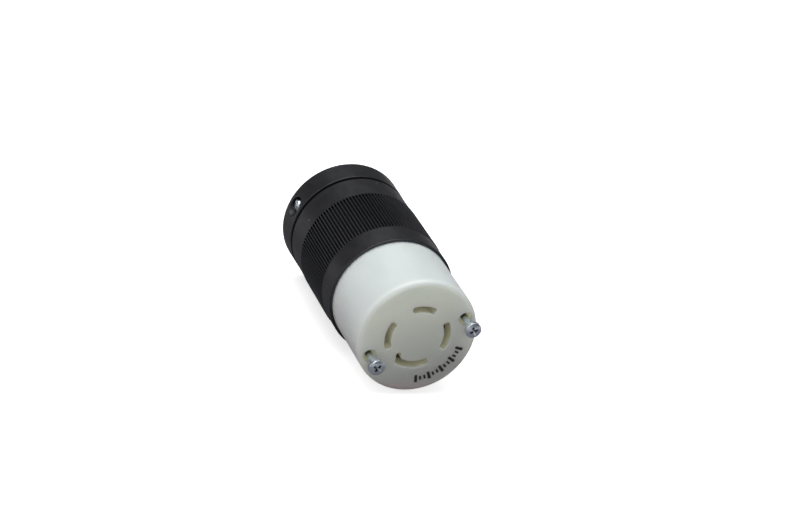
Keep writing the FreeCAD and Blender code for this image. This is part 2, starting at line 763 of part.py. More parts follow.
def retainer_rivet():
    """The rivet that holds the retainer on the carrier."""
    shank = rod("rivet_shank", "rivet_radius", "retainer_rear + running - rivet_front",
                ("0", "rivet_front + running", "0"))
    head = rod("rivet_cap", "rivet_head", "rivet_head_thick", ("0", "retainer_rear + running", "0"))
    node(fuse("rivet_solid", shank, head), "retainer_rivet")


# ---------------------------------------------------------------- the assembly

outer_shell()
threaded_inserts()
clamp_housing()
contact_carrier()
contact_retainer()
retainer_rivet()
for pole in POLES:
    contact(pole)
    clamping_plate(pole)
    terminal_screw(pole)
for side, sign in (("right", ""), ("left", "-")):
    assembly_screw(side, sign)
    captive_washer(side, sign)
# jaw a and its screw's head are on the side that the clamp direction points to, jaw b opposite
for side, sign, across, away in (("a", "", "-", "x"), ("b", "-", "", "-x")):
    clamp_jaw(side, sign, across, away)
    clamp_nut(side, sign, across, away)
    clamp_screw(side, sign, across, away)

doc.recompute()

# ---------------------------------------------------------------- checks and export

for obj in doc.Objects:
    if "Invalid" in obj.State or "Error" in obj.State:
        raise RuntimeError(f"{obj.Name} failed: {obj.State}")

os.makedirs("parts", exist_ok=True)
for obj in NODES:
    shape = obj.Shape
    if shape.isNull() or not shape.isValid():
        raise RuntimeError(f"{obj.Label} has no valid shape")
    shape.exportStep(f"parts/{obj.Label}.step")
    print(f"{obj.Label}: {len(shape.Solids)} solid(s), {shape.Volume:.1f} mm3")
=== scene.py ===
"""Looks for a female locking cord connector: black ribbed shell, milky white contact carrier, zinc screws.

Sizes are in millimetres in the part's own frame: the mating face looks along -Y, the cord leaves along +Y.
Angles are in degrees, counted from +X towards +Z.
"""
import math

import bmesh
import bpy
from mathutils import Matrix, Vector


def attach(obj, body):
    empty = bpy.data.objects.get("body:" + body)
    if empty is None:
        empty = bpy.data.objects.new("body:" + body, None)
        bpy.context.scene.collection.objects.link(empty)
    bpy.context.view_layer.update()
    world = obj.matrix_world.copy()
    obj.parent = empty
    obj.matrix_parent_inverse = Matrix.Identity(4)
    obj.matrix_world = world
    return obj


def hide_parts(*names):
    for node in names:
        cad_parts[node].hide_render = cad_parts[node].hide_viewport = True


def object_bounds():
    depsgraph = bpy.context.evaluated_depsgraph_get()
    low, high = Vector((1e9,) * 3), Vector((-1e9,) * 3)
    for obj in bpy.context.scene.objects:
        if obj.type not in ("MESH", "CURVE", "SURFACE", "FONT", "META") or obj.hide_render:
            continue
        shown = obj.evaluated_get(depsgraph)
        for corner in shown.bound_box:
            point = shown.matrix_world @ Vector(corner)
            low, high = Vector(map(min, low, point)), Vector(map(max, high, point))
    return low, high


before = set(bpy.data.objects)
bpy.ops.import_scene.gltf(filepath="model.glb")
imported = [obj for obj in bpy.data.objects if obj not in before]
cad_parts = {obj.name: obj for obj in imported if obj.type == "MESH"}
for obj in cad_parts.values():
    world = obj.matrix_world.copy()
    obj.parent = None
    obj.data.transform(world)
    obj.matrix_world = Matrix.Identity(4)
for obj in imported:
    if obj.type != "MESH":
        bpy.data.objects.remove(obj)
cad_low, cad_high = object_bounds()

MM = 0.001
TINY = 1e-9
CORNER_ROOM = 2.2     # an arc stops this many corner radii before the corner
SHARP, NORMAL_WEIGHT = 32.0, 80   # an edge's sharp angle, the weight of large faces in the shading
ROUND = 256           # segments of a large turned piece
SMALL_ROUND = 64      # segments of a screw or a hole


# ------------------------------ sizes

FACE_RADIUS = 26.2
FACE_ROUND = 2.2
SHOULDER = 37.0
TAIL_RADIUS = 24.2
TAIL_END = 58.0
FRONT_WALL = 7.5
POCKET = (9.6, 16.4, 48.0)           # inside radius, outside radius, angle
WINDOW = (44.5, 55.5, 4.4)           # front, rear, half width
SLOT_INNER, SLOT_OUTER = 11.6, 14.5
SLOT_SPANS = {"hot_left": 55.0, "hot_right": 55.0, "neutral": 45.0, "ground": 64.5}
SLOT_OFFSETS = {"hot_left": -2.0, "hot_right": 3.0, "neutral": -2.5, "ground": -1.75}
PLACES = {"hot_left": 180.0, "hot_right": 0.0, "neutral": 90.0, "ground": 270.0}
HOOK_NEAR, HOOK_FAR, HOOK_TOP = 5.6, 7.7, 7.6
SLOT_CORNER = 0.95

SHELL_FRONT, SHELL_REAR = 34.0, 89.8
LIP_BORE, SHELL_BORE, SEAT = 26.3, 24.3, 37.05
FRONT_BAND, WAIST = 27.5, 27.5
GRIP_FRONT, GRIP_REAR = 45.8, 75.8
RIBS, RIB_ROOT, RIB_TIP = 120, 26.7, 27.848
BULKHEAD, SPIGOT, SPIGOT_END, CORD_HOLE = 87.6, 26.2, 92.6, 13.0
BOSS = (40.0, 54.0, 3.1)             # front, rear, radius
INSERT = (41.0, 49.0, 2.35)
INSERT_BORE = 1.78
CHANNEL_HALF = 3.25

HOUSING_FRONT, HOUSING_REAR = 91.6, 104.4
HOUSING_SMALL, HOUSING_LARGE = 27.6, 27.8
CAVITY = (21.1, 17.8, 26.0, 102.4)   # half along, half across, bounding radius, rear wall
ACCESS_RADIUS = 4.05
CLAMP_TURN, CLAMP_LEVEL, CLAMP_OFFSET = 190.0, 97.6, 13.2
JAW = (2.5, 20.4, 17.6, 25.4, 92.85, 101.6)   # gap, back, side, bounding radius, front, rear
GRIP_BORE = 9.4
NUT = (9.65, 3.4, 2.6)               # seat, corner radius, thickness

SCREW_TURN, SCREW_CIRCLE, SCREW_PROUD = 24.5, 21.4, 7.9
SCREW_SPIN = (27.0, 55.0)            # how far the right and the left screw are turned about their own axes
SCREW_MOUTH, MOUTH_DEPTH = 2.8, 7.0
PASSAGE, CHAMBER = (1.95, 13.0), (2.6, 12.0)   # radius and an end of the narrow and of the wide bore
PLATE = (18.7, 1.2, 4.1, 4.6)        # inner face, thickness, half width, half length
TERMINAL_LEVEL = 50.0
WIRE_CIRCLE, WIRE_HOLE = 17.0, 2.2
RETAINER = (58.05, 61.5, 24.0)       # front, rear, radius
ASSEMBLY_HEAD = (3.45, 2.4, 8.0)     # radius, height, radius of the dome
CLAMP_HEAD = (2.9, 3.4, 4.6)
TERMINAL_HEAD = (3.7, 2.3, 7.0)
ASSEMBLY_SHANK = (1.45, 1.75, 13.2, 39.4)   # neck and thread radius, face to the thread and to the tip
CLAMP_SHANK = (1.58, 33.0)           # radius, length
TERMINAL_SHANK = (2.08, 6.0)
COARSE = (0.79375, 0.42)             # pitch and depth of a thread
FINE = (0.635, 0.36)
CLEARANCE = 0.05
MOUTH_SWEEP = 84.0                   # degrees of quarter round at a cutter's mouth, short of a flat end


# ------------------------------ plane geometry

def even(start, end, count):
    return [start + (end - start) * i / (count - 1) for i in range(count)]


def polar(radius, angle):
    """A point (x, z) at a radius and an angle in degrees."""
    return (radius * math.cos(math.radians(angle)), radius * math.sin(math.radians(angle)))


def arc_points(radius, start, end, step=1.5):
    """Points along an arc about the origin, both ends included."""
    count = max(2, int(abs(end - start) / step) + 1)
    return [polar(radius, start + (end - start) * i / (count - 1)) for i in range(count)]


def soft_arc(*arc):
    """The same points as corners that rounded() leaves alone."""
    return [(*p, 0) for p in arc_points(*arc)]


def rounded(corners, steps=6):
    """A closed outline of (a, b, radius) corners, each replaced by an arc of its radius.

    An arc takes less than half of each side, and a nearly straight corner stays a point.
    """
    side_share, straight = 0.49, math.radians(88)
    out = []
    count = len(corners)
    for i, (a, b, radius) in enumerate(corners):
        here = Vector((a, b))
        back = Vector(corners[i - 1][:2]) - here
        ahead = Vector(corners[(i + 1) % count][:2]) - here
        if radius <= 0 or back.length < TINY or ahead.length < TINY:
            out.append((a, b))
            continue
        back_way, ahead_way = back.normalized(), ahead.normalized()
        half = back_way.angle(ahead_way) / 2
        if half > straight:
            out.append((a, b))
            continue
        reach = min(radius / math.tan(half), side_share * back.length, side_share * ahead.length)
        true_radius = reach * math.tan(half)
        centre = here + (back_way + ahead_way).normalized() * (true_radius / math.sin(half))
        start = here + back_way * reach - centre
        end = here + ahead_way * reach - centre
        turn = start.angle_signed(end)
        for k in range(steps + 1):
            point = centre + Matrix.Rotation(-turn * k / steps, 2) @ start
            out.append((point.x, point.y))
    return out


def offset(outline, distance):
    """A closed counter-clockwise outline moved outwards along its own normals."""
    out = []
    count = len(outline)
    for i in range(count):
        before, after = Vector(outline[i - 1]), Vector(outline[(i + 1) % count])
        here = Vector(outline[i])
        first, second = here - before, after - here
        normals = [Vector((e.y, -e.x)).normalized() for e in (first, second) if e.length > TINY]
        normal = sum(normals, Vector((0, 0)))
        normal.normalize()
        lean = max(0.5, normal.dot(normals[0]))
        out.append(tuple(here + normal * (distance / lean)))
    return out


# ------------------------------ meshes

def added(name, data):
    """A new object in the scene for a mesh, a light or a camera."""
    obj = bpy.data.objects.new(name, data)
    bpy.context.scene.collection.objects.link(obj)
    return obj


def make(name, points, faces):
    """A new mesh object from millimetre points, with its faces turned outwards."""
    mesh = bpy.data.meshes.new(name)
    mesh.from_pydata([tuple(c * MM for c in p) for p in points], [], faces)
    work = bmesh.new()
    work.from_mesh(mesh)
    bmesh.ops.recalc_face_normals(work, faces=work.faces)
    work.to_mesh(mesh)
    work.free()
    return added(name, mesh)


def bands(rows, count, pairs):
    """Quads between neighbouring rows of points, each row a closed loop of the same count."""
    faces = []
    for i in range(pairs):
        j = (i + 1) % rows
        for k in range(count):
            m = (k + 1) % count
            faces.append((i * count + k, i * count + m, j * count + m, j * count + k))
    return faces


def loft(name, loops):
    """A closed skin over loops of equal length."""
    rows, count = len(loops), len(loops[0])
    faces = bands(rows, count, rows - 1)
    faces.append(tuple(range(count))[::-1])
    faces.append(tuple((rows - 1) * count + k for k in range(count)))
    return make(name, [p for loop in loops for p in loop], faces)


def lathe(name, outline, segments=ROUND, radius_at=None, columns=None):
    """A piece turned about the Y axis from (radius, y) points.

    A closed ring outline gives a tube, and one that starts and ends at radius 0 gives a solid.
    radius_at(radius, y, angle) may change the radius at each angle, in degrees.
    """
    angles = columns or [360.0 * i / segments for i in range(segments)]
    solid = outline[0][0] == 0
    rows = outline[1:-1] if solid else outline
    points = []
    for radius, y in rows:
        for angle in angles:
            r = radius_at(radius, y, angle) if radius_at else radius
            x, z = polar(r, angle)
            points.append((x, y, z))
    count = len(angles)
    faces = bands(len(rows), count, len(rows) - (1 if solid else 0))
    if solid:
        for y, row in ((outline[0][1], 0), (outline[-1][1], len(rows) - 1)):
            pole = len(points)
            points.append((0.0, y, 0.0))
            faces.extend((row * count + k, row * count + (k + 1) % count, pole) for k in range(count))
    return make(name, points, faces)


def prism(name, outline, start, end):
    """An (x, z) outline pushed along Y."""
    return loft(name, [[(x, y, z) for x, z in outline] for y in (start, end)])


def place_along(obj, centre, out, up):
    """Move a piece built along +Y (with its top at +Y) so that +Y points along out, and +Z along up."""
    y = Vector(out).normalized()
    x = y.cross(Vector(up)).normalized()
    z = x.cross(y)
    turn = Matrix((x, y, z)).transposed().to_4x4()
    obj.data.transform(Matrix.Translation(Vector(centre) * MM) @ turn)
    return obj


def at(obj, angle):
    """Turn a mesh about the connector's axis, from +X towards +Z."""
    obj.data.transform(Matrix.Rotation(-math.radians(angle), 4, "Y"))
    return obj


def moved_out(obj, radius):
    """Shift a mesh along +X, from the connector's axis to a circle about it."""
    obj.data.transform(Matrix.Translation(Vector((radius, 0, 0)) * MM))
    return obj


def spun(obj, angle):
    """Turn a screw about its own axis while it still stands on the origin."""
    obj.data.transform(Matrix.Rotation(math.radians(angle), 4, "Y"))
    return obj


def merged(name, parts):
    """Several closed meshes as one object, with nothing cut or welded."""
    work = bmesh.new()
    for part in parts:
        work.from_mesh(part.data)
        bpy.data.objects.remove(part)
    mesh = bpy.data.meshes.new(name)
    work.to_mesh(mesh)
    work.free()
    return added(name, mesh)


def applied(obj):
    """Bake an object's modifiers into its mesh."""
    graph = bpy.context.evaluated_depsgraph_get()
    mesh = bpy.data.meshes.new_from_object(obj.evaluated_get(graph))
    old = obj.data
    obj.modifiers.clear()
    obj.data = mesh
    bpy.data.meshes.remove(old)
    return obj


def combine(obj, tools, operation):
    """Cut tools from a mesh, or join them to it, and delete the tools."""
    for tool in tools:
        mod = obj.modifiers.new("carve", "BOOLEAN")
        mod.operation = operation
        mod.solver = "EXACT"
        mod.object = tool
        applied(obj)
        tidy_mesh(obj)
        bpy.data.objects.remove(tool)
    return obj


def cut(obj, *tools):
    return combine(obj, tools, "DIFFERENCE")


def join(obj, *tools):
    return combine(obj, tools, "UNION")


def tidy_mesh(obj):
    """Merge doubled points, drop loose ones and turn all faces outwards."""
    work = bmesh.new()
    work.from_mesh(obj.data)
    bmesh.ops.remove_doubles(work, verts=work.verts, dist=1e-6)
    bmesh.ops.dissolve_degenerate(work, edges=work.edges, dist=1e-7)
    loose = [v for v in work.verts if not v.link_faces]
    bmesh.ops.delete(work, geom=loose, context="VERTS")
    bmesh.ops.recalc_face_normals(work, faces=work.faces)
    work.to_mesh(obj.data)
    work.free()


def finish_piece(obj, body, node, look):
    """Shade, paint and mount one piece, and let it stand for its CAD node."""
    material, slot = look
    tidy_mesh(obj)
    obj.data.shade_smooth()
    obj.data.set_sharp_from_angle(angle=math.radians(SHARP))
    weighted = obj.modifiers.new("weighted", "WEIGHTED_NORMAL")
    weighted.keep_sharp = True
    weighted.weight = NORMAL_WEIGHT
    obj.data.materials.clear()
    obj.data.materials.append(material)
    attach(obj, body)
    if node:
        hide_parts(node)


# ------------------------------ outlines on circles

def polar_outline(corners):
    """A closed outline from (radius, angle, corner radius) corners.

    Neighbours with the same radius are joined by an arc about the origin, others by a straight line.
    """
    marks = []
    for (r0, a0, c0), (r1, a1, c1) in zip(corners, corners[1:] + corners[:1]):
        marks.append((*polar(r0, a0), c0))
        if abs(r0 - r1) > 1e-6:
            continue
        way = 1 if a1 > a0 else -1
        first = a0 + way * math.degrees(CORNER_ROOM * max(c0, 0.05) / r0)
        last = a1 - way * math.degrees(CORNER_ROOM * max(c1, 0.05) / r0)
        if way * (last - first) > 0:
            marks += soft_arc(r0, first, last)
    return rounded(marks, 5)


def sector_outline(inner, outer, middle, span, corner):
    start, end = middle - span / 2, middle + span / 2
    return polar_outline([
        (outer, start, corner), (outer, end, corner), (inner, end, corner), (inner, start, corner)])


def circle(radius, count=SMALL_ROUND, centre=(0.0, 0.0)):
    return [(centre[0] + x, centre[1] + z) for x, z in
            (polar(radius, 360.0 * i / count) for i in range(count))]


def box_piece(name, low, high):
    """A plain box between two opposite corners."""
    outline = [(low[0], low[2]), (high[0], low[2]), (high[0], high[2]), (low[0], high[2])]
    return prism(name, outline, low[1], high[1])


def rod_y(name, radius, start, end, centre=(0.0, 0.0), count=SMALL_ROUND):
    return prism(name, circle(radius, count, centre), start, end)


def bar(name, outline, start, end):
    """A (y, z) outline pushed along X."""
    return loft(name, [[(x, y, z) for y, z in outline] for x in (start, end)])


def rod_x(name, radius, start, end, y, z, count=SMALL_ROUND):
    return bar(name, circle(radius, count, (y, z)), start, end)


# ------------------------------ the black shell

RIB_COLUMNS = (-0.5, -0.34, -0.24, -0.13, 0.0, 0.13, 0.24, 0.34)   # shares of the pitch
RIB_HEIGHTS = (0.0, 0.0, 0.76, 0.93, 1.0, 0.93, 0.76, 0.0)
RIB_ENDS = (0.0, 0.03, 0.09, 0.18, 0.3)   # rows over which a rib's end rounds up to full height


def rib_angles():
    pitch = 360.0 / RIBS
    return [(rib + share) * pitch for rib in range(RIBS) for share in RIB_COLUMNS]


def rib_radius(radius, y, angle):
    """The grip's radius at a point: ribs rise from the bands at both ends in a small quarter round."""
    if radius != RIB_TIP:
        return radius
    share = (angle * RIBS / 360.0 + 0.5) % 1.0 - 0.5
    nearest = min(range(len(RIB_COLUMNS)), key=lambda i: abs(RIB_COLUMNS[i] - share))
    full = RIB_ROOT + (RIB_TIP - RIB_ROOT) * RIB_HEIGHTS[nearest]
    depth = min(y - GRIP_FRONT, GRIP_REAR - y)
    if full < FRONT_BAND:
        return full
    part = min(1.0, depth / RIB_ENDS[-1])
    return FRONT_BAND + (full - FRONT_BAND) * math.sqrt(max(0.0, 1 - (1 - part) ** 2))


def shell_outline():
    """Closed (radius, y) ring of the shell, front lip first, with small rounds on every outside corner."""
    front = rounded([
        (SHELL_BORE, SEAT, 0.0), (LIP_BORE, SEAT, 0.1), (LIP_BORE, SHELL_FRONT, 0.35),
        (FRONT_BAND, SHELL_FRONT, 0.4), (FRONT_BAND, GRIP_FRONT, 0.0),
    ], 7)
    ends = [GRIP_FRONT + d for d in RIB_ENDS[1:]] + [GRIP_REAR - d for d in reversed(RIB_ENDS[1:])]
    inner_rows = [GRIP_FRONT + 5.0 * i for i in range(1, 6)]
    grip = [(RIB_TIP, y) for y in ends[:4] + inner_rows + ends[4:]]
    rear = rounded([
        (WAIST, GRIP_REAR, 0.0), (WAIST, SHELL_REAR, 0.45), (SPIGOT, SHELL_REAR, 0.12),
        (SPIGOT, SPIGOT_END, 0.2), (CORD_HOLE, SPIGOT_END, 0.25), (CORD_HOLE, BULKHEAD, 0.4),
        (SHELL_BORE, BULKHEAD, 0.8), (SHELL_BORE, SEAT, 0.0),
    ])
    return front + grip + rear[:-1]


def outer_shell():
    shell = lathe("outer_shell_moulded", shell_outline(), radius_at=rib_radius, columns=rib_angles())
    front, rear, radius = BOSS
    socket = INSERT[2] + 0.01
    for side in (0, 180):
        outline = rounded([
            (socket, front, 0.1), (radius, front, 0.25), (radius, rear, 0.3),
            (1.95, rear, 0.1), (1.95, INSERT[1], 0.0), (socket, INSERT[1], 0.0),
        ])
        boss = lathe(f"boss_{side}", outline, SMALL_ROUND)
        join(shell, at(moved_out(boss, SCREW_CIRCLE), SCREW_TURN + side))
    return shell


def threaded_inserts():
    """Two knurled brass inserts in one object."""
    front, rear, radius = INSERT
    diamonds, lead, knurl_depth = 20, 0.75, 0.16
    pair = []
    for side in (0, 180):
        rows = [(radius, y) for y in even(front + 0.5, rear - 0.5, 28)]
        outline = [(INSERT_BORE, front), (radius - 0.3, front), (radius - 0.05, front + 0.3)] + rows
        outline += [(radius - 0.05, rear - 0.3), (radius - 0.3, rear), (INSERT_BORE, rear)]

        def knurled(r, y, angle):
            if r != radius:
                return r
            turns = diamonds * angle / 360.0
            twist = (y - front) / lead
            rise = abs(math.sin(math.pi * (turns + twist))) * abs(math.sin(math.pi * (turns - twist)))
            return r - knurl_depth * (1 - rise)
        insert = lathe(f"insert_{side}", outline, 120, knurled)
        pair.append(at(moved_out(insert, SCREW_CIRCLE), SCREW_TURN + side))
    return merged("threaded_inserts_turned", pair)


# ------------------------------ the clamp housing

def housing_radius(y):
    share = (y - HOUSING_FRONT) / (HOUSING_REAR - HOUSING_FRONT)
    return HOUSING_SMALL + (HOUSING_LARGE - HOUSING_SMALL) * share


def access_cutter():
    """A cutter along X for a screw's access hole, with a mouth that follows the housing's curved side."""
    flare, count, steps = 0.45, 96, 5

    def loop(radius, sink):
        points = []
        for a, b in circle(radius, count):
            y, z = CLAMP_LEVEL + a, b - CLAMP_OFFSET
            points.append((math.sqrt(housing_radius(y) ** 2 - z * z) - sink, y, z))
        return points
    loops = [[(JAW[1] - 1.0, CLAMP_LEVEL + a, b - CLAMP_OFFSET) for a, b in circle(ACCESS_RADIUS, count)]]
    for k in range(steps + 1):
        angle = math.radians(MOUTH_SWEEP * k / steps)
        loops.append(loop(ACCESS_RADIUS + flare * (1 - math.cos(angle)), flare * (1 - math.sin(angle))))
    loops.append(loop(ACCESS_RADIUS + flare, -1.0))
    return loft("access", loops)


def corner_angles(along, across, radius):
    """Where the sides of a box about the axis meet a circle, in degrees."""
    return math.degrees(math.acos(along / radius)), math.degrees(math.asin(across / radius))


def clamp_housing():
    bore = SPIGOT + CLEARANCE
    seat = SPIGOT_END + CLEARANCE
    outline = rounded([
        (bore, HOUSING_FRONT, 0.2), (HOUSING_SMALL, HOUSING_FRONT, 0.35),
        (HOUSING_LARGE, HOUSING_REAR, 1.3), (CORD_HOLE, HOUSING_REAR, 0.7),
        (CORD_HOLE, seat, 0.1), (bore, seat, 0.0),
    ], 8)
    housing = lathe("clamp_housing_moulded", outline, 360)
    along, across, radius, rear = CAVITY
    turn, top = corner_angles(along, across, radius)
    outline = []
    for middle in (0, 180):
        outline += arc_points(radius, middle - top, middle - turn)
        outline += arc_points(radius, middle + turn, middle + top)
    cut(housing, at(prism("jaw_space", outline, HOUSING_FRONT, rear), CLAMP_TURN))
    for side in (0, 180):
        cut(housing, at(access_cutter(), CLAMP_TURN + side))
    return housing


# ------------------------------ the cord clamp, built as side a at +X

def clamp_jaw(name):
    gap, back, half, radius, front, rear = JAW
    grip = math.sqrt(GRIP_BORE ** 2 - gap ** 2)
    bore_turn = math.degrees(math.acos(gap / GRIP_BORE))
    turn, top = corner_angles(back, half, radius)
    outline = [(gap, -half, 0.5)] + soft_arc(radius, -top, -turn) + soft_arc(radius, turn, top)
    outline += [(gap, half, 0.5), (gap, grip, 0.0)]
    outline += soft_arc(GRIP_BORE, bore_turn, -bore_turn, 2.0)[1:-1]
    outline += [(gap, -grip, 0.0)]
    jaw = prism(name, rounded(outline), front, rear)
    away, half_groove, groove_radius = 1.75, 0.7, GRIP_BORE + 0.9
    for step in (-away, away):
        middle = (front + rear) / 2 + step
        near, far = middle - half_groove, middle + half_groove
        groove = rounded([
            (0.0, near, 0.0), (groove_radius, near, 0.2), (groove_radius, far, 0.2), (0.0, far, 0.0)])
        cut(jaw, lathe("groove", groove, 128))
    seat, corner, _ = NUT
    for z in (-CLAMP_OFFSET, CLAMP_OFFSET):
        cut(jaw, rod_x("screw_hole", 1.78, -1.0, back + 5.0, CLAMP_LEVEL, z, 48))
    return cut(jaw, bar("pocket", hexagon(corner + CLEARANCE), seat - CLEARANCE, back + 5.0))


def hexagon(corner):
    """A nut's (y, z) corners about its screw's axis, the first along +Z."""
    return [(CLAMP_LEVEL + b, CLAMP_OFFSET + a) for a, b in (polar(corner, 60 * i) for i in range(6))]


def clamp_nut(name):
    seat, corner, thick = NUT
    nut = bar(name, hexagon(corner), seat, seat + thick)
    flat = corner * math.cos(math.radians(30))
    chamfer = (corner - flat) * 0.6
    outline = [
        (0.0, 0.0), (flat - 0.1, 0.0), (corner + 0.05, chamfer), (corner + 0.05, thick - chamfer),
        (flat - 0.1, thick), (0.0, thick)]
    rounder = lathe("rounder", outline, 96)
    place_along(rounder, (seat, CLAMP_LEVEL, CLAMP_OFFSET), (1, 0, 0), (0, 0, 1))
    combine(nut, [rounder], "INTERSECT")
    mouth, bore, lead = 1.95, 1.63, 0.5
    tap = [(0.0, -lead), (mouth, -lead), (mouth, 0.0), (bore, 0.35)]
    tap += [(bore, y) for y in even(lead, thick - lead, 20)]
    tap += [(bore, thick - 0.35), (mouth, thick), (mouth, thick + lead), (0.0, thick + lead)]
    tool = lathe("tap", tap, 48, threaded(bore, lead, thick - lead, 0.6, -0.22))
    place_along(tool, (seat, CLAMP_LEVEL, CLAMP_OFFSET), (1, 0, 0), (0, 0, 1))
    return cut(nut, tool)


# ------------------------------ screws, built with the head's top at +Y

def threaded(radius, start, end, pitch, depth):
    """A radius rule for lathe: a helical V thread between two levels, run out at both ends."""
    def rule(r, y, angle):
        if r != radius or not start <= y <= end:
            return r
        phase = (y / pitch + angle / 360.0) % 1.0
        wave = abs(2 * phase - 1)
        fade = min(1.0, (y - start) / pitch, (end - y) / pitch)
        return r - depth * (1 - wave) * max(0.0, fade)
    return rule


def cross_tool(height):
    """The cutter for a cross recess: four tapering wings."""
    depth, wide, arm, floor = 1.5, 2.1, 0.55, 0.8

    def loop(y, reach, half):
        plain = [
            (reach, -half), (reach, half), (half, half), (half, reach), (-half, reach), (-half, half),
            (-reach, half), (-reach, -half), (-half, -half), (-half, -reach), (half, -reach), (half, -half)]
        soft = rounded([(a, b, 0.12 if i % 3 < 2 else 0.1) for i, (a, b) in enumerate(plain)], 3)
        return [(a, y, b) for a, b in soft]
    return loft("cross", [
        loop(height - depth, floor * 0.55, arm * 0.5), loop(height - depth * 0.86, floor, arm * 0.72),
        loop(height - 0.35, wide * 0.93, arm * 0.98), loop(height + 1.0, wide * 1.25, arm * 1.1)])


def screw(name, size, shank, rule, head_corner=0.3):
    """A pan head screw. shank is the outline from the head's underside to the tip, as (radius, y) points."""
    head, height, dome = size
    crown = [(r, height - dome + math.sqrt(dome ** 2 - r ** 2), 0) for r in even(0.0, head, 14)]
    crown[-1] = (*crown[-1][:2], head_corner)
    outline = rounded(crown + [(head, 0.0, 0.12)], 5) + shank
    return cut(lathe(name, outline, SMALL_ROUND, rule), cross_tool(height))


def assembly_screw(name, turn):
    """A screw that holds the carrier in the shell, backed out of the face: a thin neck, then the thread."""
    neck, radius, to_thread, to_tip = ASSEMBLY_SHANK
    thread_start, tip = -SCREW_PROUD - to_thread, -SCREW_PROUD - to_tip
    start, end = tip + 1.2, thread_start - 0.2
    row = 0.13
    rows = [(radius, y) for y in even(end, start, int((end - start) / row))]
    shank = [(neck + 0.15, 0.0), (neck, -0.15), (neck, thread_start + 0.3), (radius - 0.12, thread_start)]
    shank += rows + [(radius - 0.1, tip + 0.8), (radius - 0.5, tip), (0.0, tip)]
    piece = screw(name, ASSEMBLY_HEAD, shank, threaded(radius, start, end, *COARSE), 0.75)
    x, z = polar(SCREW_CIRCLE, turn)
    spun(piece, SCREW_SPIN[0] if turn < 90 else SCREW_SPIN[1])
    return place_along(piece, (x, -SCREW_PROUD, z), (0.0, -1.0, 0.0), (0.0, 0.0, 1.0))


def clamp_screw(name):
    """Side a: the head bears on the jaw's back at +X and the shank points to -X."""
    radius, length = CLAMP_SHANK
    start, end = -length + 1.2, -8.0
    rows = [(radius, y) for y in even(end, start, 190)]
    shank = [(radius - 0.05, 0.0), (radius - 0.18, -0.12), (radius - 0.18, -7.5)]
    shank += rows + [(radius - 0.1, -length + 0.8), (radius - 0.45, -length), (0.0, -length)]
    piece = spun(screw(name, CLAMP_HEAD, shank, threaded(radius, start, end, *FINE)), 20.0)
    return place_along(piece, (JAW[1], CLAMP_LEVEL, -CLAMP_OFFSET), (1, 0, 0), (0, 0, 1))


def terminal_screw(name, turn):
    """A short screw at +X, through the clamping plate and the contact's tab."""
    radius, length = TERMINAL_SHANK
    start, end = -length + 0.8, -0.5
    rows = [(radius, y) for y in even(end, start, 42)]
    shank = [(radius - 0.1, 0.0), (radius - 0.1, -0.35)]
    shank += rows + [(radius - 0.15, -length + 0.45), (radius - 0.5, -length), (0.0, -length)]
    piece = spun(screw(name, TERMINAL_HEAD, shank, threaded(radius, start, end, *COARSE)), turn * 0.37)
    return place_along(piece, (PLATE[0] + PLATE[1], TERMINAL_LEVEL, 0.0), (1, 0, 0), (0, 0, 1))


# ------------------------------ contacts and terminals, built at +X

def contact(name):
    """Two leaves around a blade's path, with a tapped tab for the terminal's screw."""
    inner, outer, front, rear = 11.2, 14.8, 8.0, 30.0
    leaves = prism(name, sector_outline(inner, outer, 0.0, 32.0, 0.15), front, rear)
    gap = sector_outline(inner + 0.8, outer - 0.8, 0.0, 40.0, 0.0)
    cut(leaves, prism("between", gap, front - 1.0, rear - 0.8))
    start, end, half = 29.4, 56.6, 4.0
    profile = rounded([(start, -half, 0.2), (end, -half, 0.8), (end, half, 0.8), (start, half, 0.2)])
    join(leaves, bar("tab", profile, 14.05, 15.2))
    mouth, bore, depth = 2.35, 2.13, 1.2
    hole = lathe("tap", [
        (0.0, -1.0), (mouth, -1.0), (mouth, 0.0), (bore, 0.22), *((bore, y) for y in even(0.3, 0.9, 6)),
        (bore, depth - 0.22), (mouth, depth), (mouth, depth + 1.0), (0.0, depth + 1.0)], 48)
    place_along(hole, (14.0, TERMINAL_LEVEL, 0.0), (1, 0, 0), (0, 0, 1))
    return cut(leaves, hole)


def clamping_plate(name):
    inner, thick, half, length = PLATE
    profile = rounded([
        (TERMINAL_LEVEL - length, -half, 0.7), (TERMINAL_LEVEL + length, -half, 0.7),
        (TERMINAL_LEVEL + length, half, 0.7), (TERMINAL_LEVEL - length, half, 0.7)])

    def loop(x, shrink):
        return [(x, y + (TERMINAL_LEVEL - y) * shrink, z * (1 - shrink)) for y, z in profile]
    edge, outer = 0.12, inner + thick
    plate = loft(name, [
        loop(inner, 0.03), loop(inner + edge, 0.0), loop(outer - edge, 0.0), loop(outer, 0.03)])
    cut(plate, rod_x("hole", 2.13, inner - 1.0, outer + 1.0, TERMINAL_LEVEL, 0.0))
    for y in (TERMINAL_LEVEL - 3.4, TERMINAL_LEVEL + 3.4):
        ridge = box_piece("ridge", (inner - 0.5, y - 0.18, -half + 0.6), (inner + 0.22, y + 0.18, half - 0.6))
        cut(plate, ridge)
    return plate


# ------------------------------ the white contact carrier

def face_level(x, z):
    """Distance of the carrier's front surface behind the face's plane."""
    over = math.hypot(x, z) - (FACE_RADIUS - FACE_ROUND)
    if over <= 0:
        return 0.0
    over = min(over, 0.93 * FACE_ROUND)
    return FACE_ROUND - math.sqrt(FACE_ROUND ** 2 - over ** 2)


